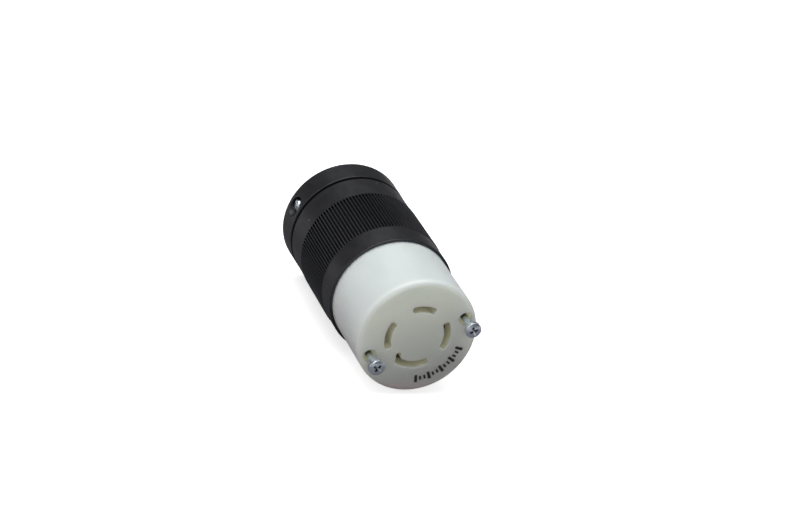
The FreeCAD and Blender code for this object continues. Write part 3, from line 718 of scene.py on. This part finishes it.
def mouth_cutter(name, outline, floor, flare):
    """A cutter along Y through the face, whose edge is rounded and follows the face's own round.

    The outline runs counter-clockwise.
    """
    steps = 6
    loops = [[(x, floor, z) for x, z in outline]]
    for k in range(steps + 1):
        angle = math.radians(MOUTH_SWEEP * k / steps)
        wide = offset(outline, flare * (1 - math.cos(angle)))
        loops.append([(x, face_level(x, z) + flare * (1 - math.sin(angle)), z) for x, z in wide])
    wide = offset(outline, flare)
    loops.append([(x, min(0.0, face_level(x, z)) - 1.0, z) for x, z in wide])
    return loft(name, loops)


def slot_outline(pole):
    middle, span = PLACES[pole] + SLOT_OFFSETS[pole], SLOT_SPANS[pole]
    if pole != "ground":
        return sector_outline(SLOT_INNER, SLOT_OUTER, middle, span, SLOT_CORNER)
    end = middle + span / 2
    outer_start = 180 + math.degrees(math.acos(HOOK_FAR / SLOT_OUTER))
    inner_start = 180 + math.degrees(math.acos(HOOK_NEAR / SLOT_INNER))
    corner, bend = math.degrees(CORNER_ROOM * SLOT_CORNER / SLOT_OUTER), math.degrees(1.0 / SLOT_INNER)
    outline = [(-HOOK_FAR, -HOOK_TOP, SLOT_CORNER), (*polar(SLOT_OUTER, outer_start), SLOT_CORNER)]
    outline += soft_arc(SLOT_OUTER, outer_start + corner, end - corner)
    outline += [(*polar(SLOT_OUTER, end), SLOT_CORNER), (*polar(SLOT_INNER, end), SLOT_CORNER)]
    outline += soft_arc(SLOT_INNER, end - 1.2 * corner, inner_start + 2 * bend)
    outline += [(*polar(SLOT_INNER, inner_start), 1.0), (-HOOK_NEAR, -HOOK_TOP, SLOT_CORNER)]
    return rounded(outline)


def contact_carrier():
    outline = rounded([
        (0.0, 0.0, 0.0), (FACE_RADIUS, 0.0, FACE_ROUND), (FACE_RADIUS, SHOULDER, 0.25),
        (TAIL_RADIUS, SHOULDER, 0.1), (TAIL_RADIUS, TAIL_END, 0.3), (0.0, TAIL_END, 0.0)], 14)
    carrier = lathe("contact_carrier_moulded", outline, 360)
    inner, outer, span = POCKET
    for pole, place in PLACES.items():
        cut(carrier, mouth_cutter("slot", slot_outline(pole), FRONT_WALL + 0.5, 0.42))
        pocket = prism("pocket", sector_outline(inner, outer, place, span, 0.6), FRONT_WALL, TAIL_END + 1.0)
        front, rear, half = WINDOW
        window = box_piece("window", (15.2, front, -half), (FACE_RADIUS + 1.0, rear, half))
        way_in = rod_y("way_in", WIRE_HOLE, TERMINAL_LEVEL, TAIL_END + 1.0, (WIRE_CIRCLE, 0.0), 48)
        cut(carrier, pocket, at(window, place), at(way_in, place))
    cut(carrier, rod_y("rivet_hole", 1.6, 46.0, TAIL_END + 1.0, count=48))
    for side in (0, 180):
        centre = polar(SCREW_CIRCLE, SCREW_TURN + side)
        mouth = mouth_cutter("mouth", circle(SCREW_MOUTH, 96, centre), MOUTH_DEPTH, 0.35)
        passage = rod_y("passage", PASSAGE[0], MOUTH_DEPTH - 0.5, PASSAGE[1], centre, 48)
        chamber = rod_y("chamber", CHAMBER[0], CHAMBER[1], SHOULDER + 0.5, centre, 48)
        channel = prism("channel", channel_outline(), SHOULDER + 0.01, TAIL_END + 1.0)
        cut(carrier, mouth, passage, chamber, at(channel, SCREW_TURN + side))
    return carrier


def channel_outline():
    """A slot that opens outwards, with a round inner end about an assembly screw's axis."""
    half = CHANNEL_HALF
    bend = [(SCREW_CIRCLE + x, z) for x, z in arc_points(half, 90, 270, 6)]
    return bend + [(FACE_RADIUS + 1.0, -half), (FACE_RADIUS + 1.0, half)]


def captive_washer(name, turn):
    hole, edge, front, rear = 1.5, 2.4, 12.25, 13.05
    ring = rounded([(hole, front, 0.12), (edge, front, 0.15), (edge, rear, 0.15), (hole, rear, 0.12)], 3)
    washer = lathe(name, ring, 96)
    return at(moved_out(washer, SCREW_CIRCLE), turn)


def contact_retainer():
    front, rear, radius = RETAINER
    outline = rounded([
        (1.6, front, 0.1), (radius, front, 0.25), (radius, rear, 0.4), (1.6, rear, 0.1)])
    plate = lathe("contact_retainer_moulded", outline, ROUND)
    for place in PLACES.values():
        tool = lathe("wire_hole", [
            (0.0, front - 1.0), (WIRE_HOLE, front - 1.0), (WIRE_HOLE, rear - 0.5),
            (WIRE_HOLE + 0.12, rear - 0.25), (WIRE_HOLE + 0.5, rear + 0.02), (WIRE_HOLE + 0.5, rear + 1.0),
            (0.0, rear + 1.0)], 48)
        cut(plate, at(moved_out(tool, WIRE_CIRCLE), place))
    for side in (0, 180):
        notch = prism("notch", channel_outline(), front - 1.0, rear + 1.0)
        cut(plate, at(notch, SCREW_TURN + side))
    return plate


def retainer_rivet():
    rear = RETAINER[1]
    return lathe("retainer_rivet_turned", [
        (0.0, 46.05), (0.85, 46.05), (1.35, 46.35), (1.55, 46.8), (1.55, rear + 0.05), (3.3, rear + 0.05),
        (3.4, rear + 0.12), (3.36, rear + 0.45), (3.05, rear + 0.85), (2.45, rear + 1.12),
        (1.6, rear + 1.22), (0.9, rear + 1.25), (0.35, rear + 1.12), (0.0, rear + 1.1)], 96)


def face_marks():
    """Plain graduation ticks printed near the face's edge, as thin raised ink."""
    first, pitch, count, middle_radius = -81.0, 5.5, 13, 20.5
    ticks = []
    for i in range(count):
        angle = first + pitch * i
        width, near, far = (1.25, 18.4, 21.9) if i % 3 == 0 else (0.9, 19.2, 21.1)
        half = math.degrees(width / 2 / middle_radius)
        outline = polar_outline([
            (far, angle - half, 0.1), (far, angle + half, 0.1),
            (near, angle + half, 0.1), (near, angle - half, 0.1)])
        ticks.append(prism(f"tick_{i}", outline, -0.03, 0.02))
    return merged("face_marks_printed", ticks)


# ------------------------------ materials

FIRST_COLOUR, SECOND_COLOUR, MIXED_COLOUR = 6, 7, 2   # the mix node's colour sockets


class Shader:
    """A material's node tree, with coordinates in millimetres of the part's own frame."""

    def __init__(self, name):
        self.material = bpy.data.materials.new(name)
        self.material.use_nodes = True
        self.tree = self.material.node_tree
        self.surface = self.tree.nodes["Principled BSDF"]
        coordinates = self.tree.nodes.new("ShaderNodeTexCoord")
        scale = self.add("ShaderNodeMapping", {"Scale": (1000.0, 1000.0, 1000.0)})
        self.link(coordinates.outputs["Object"], scale.inputs["Vector"])
        self.place = scale.outputs["Vector"]
        self.normal = None

    def add(self, kind, values=None, **settings):
        node = self.tree.nodes.new(kind)
        for key, value in settings.items():
            setattr(node, key, value)
        for key, value in (values or {}).items():
            node.inputs[key].default_value = value
        return node

    def link(self, source, target):
        self.tree.links.new(source, target)

    def stretch(self, scale):
        node = self.add("ShaderNodeMapping", {"Scale": scale})
        self.link(self.place, node.inputs["Vector"])
        return node.outputs["Vector"]

    def noise(self, scale, detail=3.0, rough=0.5, stretch=None):
        node = self.add("ShaderNodeTexNoise", {"Scale": scale, "Detail": detail, "Roughness": rough})
        self.link(self.stretch(stretch) if stretch else self.place, node.inputs["Vector"])
        return node.outputs["Fac"]

    def spots(self, scale):
        node = self.add("ShaderNodeTexVoronoi", {"Scale": scale})
        self.link(self.place, node.inputs["Vector"])
        return node.outputs["Distance"]

    def span(self, source, low, high, to_low=0.0, to_high=1.0):
        node = self.add("ShaderNodeMapRange", {
            "From Min": low, "From Max": high, "To Min": to_low, "To Max": to_high})
        self.link(source, node.inputs["Value"])
        return node.outputs["Result"]

    def vary(self, source, to_low, to_high):
        """Spread the middle of a noise over a range."""
        return self.span(source, 0.3, 0.7, to_low, to_high)

    def times(self, first, second):
        return self.math("MULTIPLY", first, second)

    def math(self, operation, first, second):
        node = self.add("ShaderNodeMath", operation=operation)
        for i, value in enumerate((first, second)):
            if isinstance(value, (int, float)):
                node.inputs[i].default_value = value
            else:
                self.link(value, node.inputs[i])
        return node.outputs["Value"]

    def axes(self):
        node = self.add("ShaderNodeSeparateXYZ")
        self.link(self.place, node.inputs["Vector"])
        return node.outputs["X"], node.outputs["Y"], node.outputs["Z"]

    def within(self, source, low, high, edge=0.04):
        """1 between two values, 0 outside them."""
        return self.times(self.span(source, low, low + edge),
                         self.span(source, high - edge, high, 1.0, 0.0))

    def radius(self):
        """Distance from the connector's axis."""
        x, _, z = self.axes()
        squares = self.math("ADD", self.times(x, x), self.times(z, z))
        return self.math("POWER", squares, 0.5)

    def hollows(self, reach, low, high):
        """0 in narrow hollows, 1 on open surfaces; used to paint shade there."""
        node = self.add("ShaderNodeAmbientOcclusion", {"Distance": reach * MM}, samples=8)
        return self.span(node.outputs["AO"], low, high)

    def mix(self, factor, first, second):
        """Blend two colours, each either a socket or a linear RGB."""
        node = self.add("ShaderNodeMix", data_type="RGBA")
        self.link(factor, node.inputs["Factor"])
        for key, value in ((FIRST_COLOUR, first), (SECOND_COLOUR, second)):
            if isinstance(value, tuple):
                node.inputs[key].default_value = (*value, 1.0)
            else:
                self.link(value, node.inputs[key])
        return node.outputs[MIXED_COLOUR]

    def edges(self, low, high):
        """1 on convex edges, 0 elsewhere."""
        geometry = self.add("ShaderNodeNewGeometry")
        return self.span(geometry.outputs["Pointiness"], low, high)

    def bump(self, height, millimetres, strength=1.0):
        node = self.add("ShaderNodeBump", {"Strength": strength, "Distance": millimetres * MM})
        self.link(height, node.inputs["Height"])
        if self.normal is not None:
            self.link(self.normal, node.inputs["Normal"])
        self.normal = node.outputs["Normal"]

    def into(self, name, value):
        """Feed a number, a colour or another node's output to one of the surface's inputs."""
        socket = self.surface.inputs[name]
        if isinstance(value, (int, float, tuple)):
            socket.default_value = value
        else:
            self.link(value, socket)

    def done(self, colour, roughness, **values):
        """Finish the surface. Further values are named after the surface's inputs."""
        self.into("Base Color", colour)
        self.into("Roughness", roughness)
        for key, value in values.items():
            self.into(key.replace("_", " ").title().replace("Ior", "IOR"), value)
        if self.normal is not None:
            self.link(self.normal, self.surface.inputs["Normal"])
        return self.material


def black_nylon():
    """Semi-gloss moulded nylon: fine spark-eroded grain, slight mottling, edges polished by handling. Painted
    shade darkens the grip's grooves, the groove ends and the seam at the clamp housing.
    """
    s = Shader("black_nylon")
    mottle = s.noise(0.22, 4.0, 0.6)
    speck = s.noise(7.0, 2.0, 0.6)
    base = s.mix(s.span(mottle, 0.35, 0.65), (0.0078, 0.0080, 0.0096), (0.0120, 0.0122, 0.0146))
    worn = s.times(s.edges(0.515, 0.56), s.span(s.noise(1.1, 3.0, 0.6), 0.4, 0.65, 0.1, 0.75))
    colour = s.mix(worn, base, (0.026, 0.026, 0.028))
    rough = s.math("ADD", s.vary(mottle, 0.34, 0.43), s.vary(speck, -0.04, 0.05))
    smears = s.span(s.noise(0.6, 5.0, 0.65, (1.0, 0.25, 1.0)), 0.52, 0.75, 0.0, 0.10)
    colour = s.mix(s.span(s.spots(0.09), 0.028, 0.04, 0.8, 0.0), colour, (0.30, 0.30, 0.30))
    _, y, _ = s.axes()
    radius = s.radius()
    ribbed = s.within(y, GRIP_FRONT, GRIP_REAR)
    # painted shade: the groove floors of the grip are a little darker and less shiny
    groove = s.times(ribbed, s.span(radius, 26.9, 27.5, 1.0, 0.0))
    # painted shade: the walls at the groove ends are nearly black, with no shine
    ends = s.math("MAXIMUM", s.within(y, GRIP_REAR - 1.1, GRIP_REAR + 0.05),
                  s.within(y, GRIP_FRONT - 0.05, GRIP_FRONT + 0.7))
    groove_end_shade = s.times(ends, s.within(radius, 26.0, 27.48))
    # painted shade in the seam between the shell and the clamp housing
    seam_shade = s.times(s.within(y, SHELL_REAR - 0.2, HOUSING_FRONT + 0.2), s.within(radius, 26.0, 27.3))
    colour = s.mix(groove, colour, (0.007, 0.007, 0.008))
    colour = s.mix(seam_shade, colour, (0.008, 0.008, 0.0095))
    colour = s.mix(groove_end_shade, colour, (0.0008, 0.0008, 0.0009))
    shine = s.math("SUBTRACT", s.span(ribbed, 0.0, 1.0, 0.58, 0.46), s.times(groove, 0.26))
    s.into("Specular IOR Level", s.times(shine, s.span(groove_end_shade, 0.0, 1.0, 1.0, 0.0)))
    s.into("Specular Tint", (0.93, 0.95, 1.0, 1.0))
    s.bump(s.noise(0.09, 2.0, 0.4), 0.05, 0.5)
    s.bump(s.noise(5.5, 3.0, 0.55), 0.004, 0.7)
    return s.done(colour, s.math("ADD", rough, smears))


def white_nylon():
    """Milky translucent nylon with flow marks: light passes a few millimetres in."""
    s = Shader("white_nylon")
    flow = s.noise(0.10, 3.0, 0.55, (1.0, 0.35, 1.0))
    cloud = s.noise(0.45, 4.0, 0.6)
    x, y, z = s.axes()
    radius = s.radius()
    towards_light = s.math("SUBTRACT", z, s.times(x, 0.4))
    # the barrel: painted shade, a little deeper where it looks up and to -X, towards the lamps
    base = s.mix(s.span(flow, 0.35, 0.65), (0.70, 0.755, 0.75), (0.745, 0.80, 0.80))
    base = s.mix(s.span(towards_light, 10.0, 27.0, 0.0, 0.12), base, (0.33, 0.38, 0.38))
    # the front face: painted shade below and painted light above, from grey to greenish, and a painted warm
    # reflection of the floor at its lowest edge
    face = s.mix(s.span(towards_light, -20.0, 17.0), (0.47, 0.50, 0.49), (0.85, 0.92, 0.83))
    face = s.mix(s.span(z, -25.7, -20.5, 1.0, 0.0), face, (0.53, 0.44, 0.46))
    colour = s.mix(s.span(y, 0.1, 2.3, 1.0, 0.0), base, face)
    # the upper half's rim: painted light where the barrel's tone runs over onto the face's outer ring, and
    # painted shade on the rounding itself
    upper = s.span(z, -14.0, 0.0, 0.0, 0.9)
    outer_face_light = s.times(s.span(radius, 17.0, 24.4), s.span(y, 0.5, 4.0, 1.0, 0.0))
    colour = s.mix(s.times(outer_face_light, upper), colour, (0.79, 0.84, 0.80))
    rim_shade = s.times(s.span(radius, 24.4, 25.4), s.span(y, 1.6, 3.4, 1.0, 0.0))
    colour = s.mix(s.times(rim_shade, upper), colour, (0.69, 0.745, 0.735))
    # slots and screw holes: painted light and a painted glow stand in for light that comes through the walls
    inside = s.times(s.span(y, 0.4, 1.6), s.span(radius, 24.6, 25.2, 1.0, 0.0))
    inside = s.times(inside, s.span(y, 12.0, 20.0, 1.0, 0.0))
    colour = s.mix(inside, colour, (0.72, 0.71, 0.56))
    # clouds and specks
    colour = s.mix(s.span(cloud, 0.55, 0.8, 0.0, 0.35), colour, (0.70, 0.72, 0.66))
    marked = s.mix(s.span(s.spots(0.9), 0.03, 0.07, 0.35, 0.0), colour, (0.42, 0.38, 0.32))
    rough = s.math("ADD", s.vary(cloud, 0.30, 0.38), s.span(s.noise(3.2, 3.0, 0.6), 0.4, 0.7, 0.0, 0.06))
    s.bump(s.noise(0.14, 2.0, 0.5), 0.06, 0.5)
    s.bump(s.noise(3.5, 3.0, 0.6), 0.003, 0.6)
    # painted glow, stronger in the screw holes than in the slots, standing in for light through the walls
    painted_glow = s.times(inside, s.span(radius, 18.3, 18.6, 0.03, 0.14))
    painted_glow = s.times(painted_glow, s.span(y, 5.0, 12.0, 1.0, 0.0))
    s.into("Emission Strength", painted_glow)
    s.into("Emission Color", (0.84, 0.86, 0.66, 1.0))
    return s.done(marked, rough, ior=1.53, subsurface_weight=0.92, subsurface_scale=0.0050,
                  subsurface_radius=(1.0, 1.0, 0.85))


def insulator():
    """Compression-moulded thermoset, a little chalky, with small flecks of filler."""
    s = Shader("black_insulator")
    fleck = s.spots(1.6)
    colour = s.mix(s.span(fleck, 0.06, 0.14, 1.0, 0.0), (0.022, 0.021, 0.022), (0.055, 0.05, 0.045))
    s.bump(s.noise(2.6, 4.0, 0.65), 0.012, 0.8)
    return s.done(colour, s.vary(s.noise(0.8, 3.0), 0.42, 0.58))


def fibre():
    """Red vulcanised fibre with a layered, slightly furry edge."""
    s = Shader("red_fibre")
    layer = s.noise(3.0, 4.0, 0.6, (0.6, 4.0, 0.6))
    colour = s.mix(s.vary(layer, 0.0, 1.0), (0.22, 0.035, 0.02), (0.36, 0.075, 0.04))
    s.bump(layer, 0.02, 0.8)
    return s.done(colour, s.vary(layer, 0.6, 0.8))


def metal(name, light, dark, tarnish, rough):
    """Plated or bare metal: fine tool lines, a patchy film, darker where the edges don't rub, and painted
    shade in narrow hollows.
    """
    s = Shader(name)
    patch = s.noise(0.55, 4.0, 0.6)
    fine = s.noise(6.0, 3.0, 0.6)
    base = s.mix(s.vary(patch, 0.0, 1.0), light, dark)
    film = s.span(s.noise(1.6, 5.0, 0.65), 0.52, 0.78, 0.0, 0.65)
    colour = s.mix(film, base, tarnish)
    rubbed_and_shaded = s.mix(s.edges(0.53, 0.60), colour, light)
    # painted shade: narrow hollows, such as a screw's recess, turn nearly black
    rubbed_and_shaded = s.mix(s.hollows(2.2, 0.35, 0.85), tuple(c * 0.08 for c in dark), rubbed_and_shaded)
    roughness = s.math("ADD", s.vary(patch, rough - 0.05, rough + 0.06),
                       s.vary(fine, -0.05, 0.08))
    s.bump(fine, 0.006, 0.7)
    s.bump(s.noise(0.5, 2.0, 0.4), 0.015, 0.5)
    return s.done(rubbed_and_shaded, roughness, metallic=1.0)


def green_steel():
    """Steel under a thin green dye that has rubbed off on the edges."""
    s = Shader("green_dyed_steel")
    patch = s.noise(0.9, 4.0, 0.6)
    dye = s.mix(s.vary(patch, 0.0, 1.0), (0.02, 0.22, 0.07), (0.05, 0.32, 0.12))
    colour = s.mix(s.edges(0.53, 0.6), dye, (0.55, 0.56, 0.52))
    s.bump(s.noise(5.0, 3.0, 0.6), 0.006, 0.7)
    return s.done(colour, s.vary(patch, 0.28, 0.42), metallic=0.85)


def ink():
    """Black marking ink with slightly broken coverage."""
    s = Shader("marking_ink")
    cover = s.noise(5.0, 4.0, 0.6)
    colour = s.mix(s.span(cover, 0.58, 0.72, 0.0, 0.6), (0.024, 0.020, 0.014), (0.15, 0.14, 0.11))
    s.bump(cover, 0.006, 0.6)
    return s.done(colour, s.vary(cover, 0.45, 0.6))


# Each look is a material and the name of its slot.
BLACK = black_nylon(), "black_nylon"
WHITE = white_nylon(), "white_nylon"
INSULATOR = insulator(), "black_insulator"
FIBRE = fibre(), "fibre"
ZINC = metal("zinc_plate", (0.82, 0.89, 0.96), (0.64, 0.71, 0.79), (0.42, 0.47, 0.53), 0.25), "zinc_steel"
BRASS = metal("brass", (0.78, 0.58, 0.27), (0.64, 0.45, 0.19), (0.33, 0.20, 0.08), 0.30), "brass"
NICKEL = metal("nickel_plate", (0.72, 0.70, 0.66), (0.60, 0.58, 0.53), (0.42, 0.38, 0.30), 0.26), "nickel"
GREEN = green_steel(), "green_screw"
INK = ink(), "black_insulator"


# ------------------------------ the pieces on their bodies

finish_piece(outer_shell(), "shell", "outer_shell", BLACK)
finish_piece(clamp_housing(), "shell", "clamp_housing", BLACK)
finish_piece(threaded_inserts(), "shell", "threaded_inserts", BRASS)
finish_piece(contact_carrier(), "carrier", "contact_carrier", WHITE)
finish_piece(face_marks(), "carrier", None, INK)
finish_piece(contact_retainer(), "carrier", "contact_retainer", INSULATOR)
finish_piece(retainer_rivet(), "carrier", "retainer_rivet", ZINC)

PLATINGS = {"neutral": (NICKEL, NICKEL), "ground": (BRASS, GREEN)}   # the plate's look and the screw's
for pole, place in PLACES.items():
    plate_look, screw_look = PLATINGS.get(pole, (BRASS, BRASS))
    finish_piece(at(contact(f"contact_{pole}_stamped"), place), "carrier", f"contact_{pole}", BRASS)
    plate = at(clamping_plate(f"clamping_plate_{pole}_stamped"), place)
    finish_piece(plate, f"terminal_plate_{pole}", f"clamping_plate_{pole}", plate_look)
    name = f"terminal_screw_{pole}"
    finish_piece(at(terminal_screw(f"{name}_turned", place), place), name, name, screw_look)

for side, turn in (("right", SCREW_TURN), ("left", SCREW_TURN + 180)):
    name = f"assembly_screw_{side}"
    finish_piece(assembly_screw(f"{name}_turned", turn), name, name, ZINC)
    washer = captive_washer(f"captive_washer_{side}_cut", turn)
    finish_piece(washer, f"washer_{side}", f"captive_washer_{side}", FIBRE)

for side, turn in (("a", CLAMP_TURN), ("b", CLAMP_TURN + 180)):
    jaw = f"clamp_jaw_{side}"
    finish_piece(at(clamp_jaw(f"{jaw}_moulded"), turn), jaw, jaw, BLACK)
    finish_piece(at(clamp_nut(f"clamp_nut_{side}_pressed"), turn), jaw, f"clamp_nut_{side}", ZINC)
    name = f"clamp_screw_{side}"
    finish_piece(at(clamp_screw(f"{name}_turned"), turn), name, name, ZINC)


# ------------------------------ floor, light and camera

CAMERA_PLACE = (-371.06, -774.91, 460.52)
CAMERA_RIGHT = (0.927565, -0.321013, 0.191097)
CAMERA_UP = (-0.011562, 0.486666, 0.873566)
CAMERA_BACK = (-0.373481, -0.812455, 0.447675)
CAMERA_LENS, CAMERA_SENSOR = 106.43, 36.0
MIDDLE = (0.0, 45.0, 0.0)
LIGHTS = (                           # name, place, side, watts
    ("overhead", (-60.0, 120.0, 620.0), 700.0, 4.1),
    ("front_fill", (-300.0, -700.0, 330.0), 500.0, 1.5),
    ("left_fill", (-700.0, 100.0, 200.0), 450.0, 0.95),
    ("side_fill", (620.0, -100.0, 240.0), 400.0, 0.4),
)
FLOOR_HALF, FLOOR_GLOW = 2500.0, 0.65
SKY, SKY_IN_GLOSS = 0.20, 0.12


def floor():
    """A wide pale sweep of smooth board under the connector, at its lowest point."""
    half, level = FLOOR_HALF, cad_low.z / MM
    corners = [(-half, -half, level), (half, -half, level), (half, half, level), (-half, half, level)]
    sheet = make("floor", corners, [(0, 1, 2, 3)])
    s = Shader("pale_board")
    tone = s.mix(s.vary(s.noise(0.02, 3.0), 0.0, 1.0), (0.90, 0.90, 0.90), (0.93, 0.93, 0.93))
    s.bump(s.noise(0.8, 3.0), 0.01, 0.3)
    path = s.add("ShaderNodeLightPath").outputs
    x, y, _ = s.axes()
    away = s.math("SUBTRACT", y, MIDDLE[1])
    reach = s.math("POWER", s.math("ADD", s.times(x, x), s.times(away, away)), 0.5)
    gloss = s.mix(s.span(reach, 110.0, 260.0), (0.19, 0.19, 0.21), (0.62, 0.60, 0.64))
    unseen = s.mix(path["Is Glossy Ray"], (0.36, 0.31, 0.30), gloss)
    seen = s.mix(path["Is Camera Ray"], unseen, tone)
    s.into("Emission Strength", s.times(path["Is Camera Ray"], FLOOR_GLOW))
    s.into("Emission Color", (1.0, 1.0, 1.0, 1.0))
    sheet.data.materials.append(s.done(seen, 0.9, specular_ior_level=0.1))


def area_light(name, place, size, watts):
    """A square soft box at a place in millimetres, aimed at the connector's middle."""
    data = bpy.data.lights.new(name, "AREA")
    data.shape = "RECTANGLE"
    data.size = data.size_y = size * MM
    data.energy = watts
    light = added(name, data)
    light.location = Vector(place) * MM
    light.rotation_mode = "QUATERNION"
    light.rotation_quaternion = (Vector(MIDDLE) - Vector(place)).to_track_quat("-Z", "Y")


def camera():
    """The camera in front, to the left and above, as the connector is usually shown."""
    data = bpy.data.cameras.new("camera")
    data.lens, data.sensor_width = CAMERA_LENS, CAMERA_SENSOR
    data.clip_start, data.clip_end = 0.01, 20.0
    eye = added("camera", data)
    turn = Matrix((CAMERA_RIGHT, CAMERA_UP, CAMERA_BACK)).transposed().to_4x4()
    eye.matrix_world = Matrix.Translation(Vector(CAMERA_PLACE) * MM) @ turn
    bpy.context.scene.camera = eye


def studio_world():
    """An even white sky, weaker in reflections."""
    world = bpy.data.worlds.new("studio")
    world.use_nodes = True
    nodes, links = world.node_tree.nodes, world.node_tree.links
    nodes["Background"].inputs["Color"].default_value = (1.0, 1.0, 1.0, 1.0)
    dimmed = nodes.new("ShaderNodeMapRange")
    dimmed.inputs["To Min"].default_value, dimmed.inputs["To Max"].default_value = SKY, SKY_IN_GLOSS
    links.new(nodes.new("ShaderNodeLightPath").outputs["Is Glossy Ray"], dimmed.inputs["Value"])
    links.new(dimmed.outputs["Result"], nodes["Background"].inputs["Strength"])
    bpy.context.scene.world = world


floor()
for lamp in LIGHTS:
    area_light(*lamp)
camera()
studio_world()
bpy.context.scene.view_settings.view_transform = "Standard"
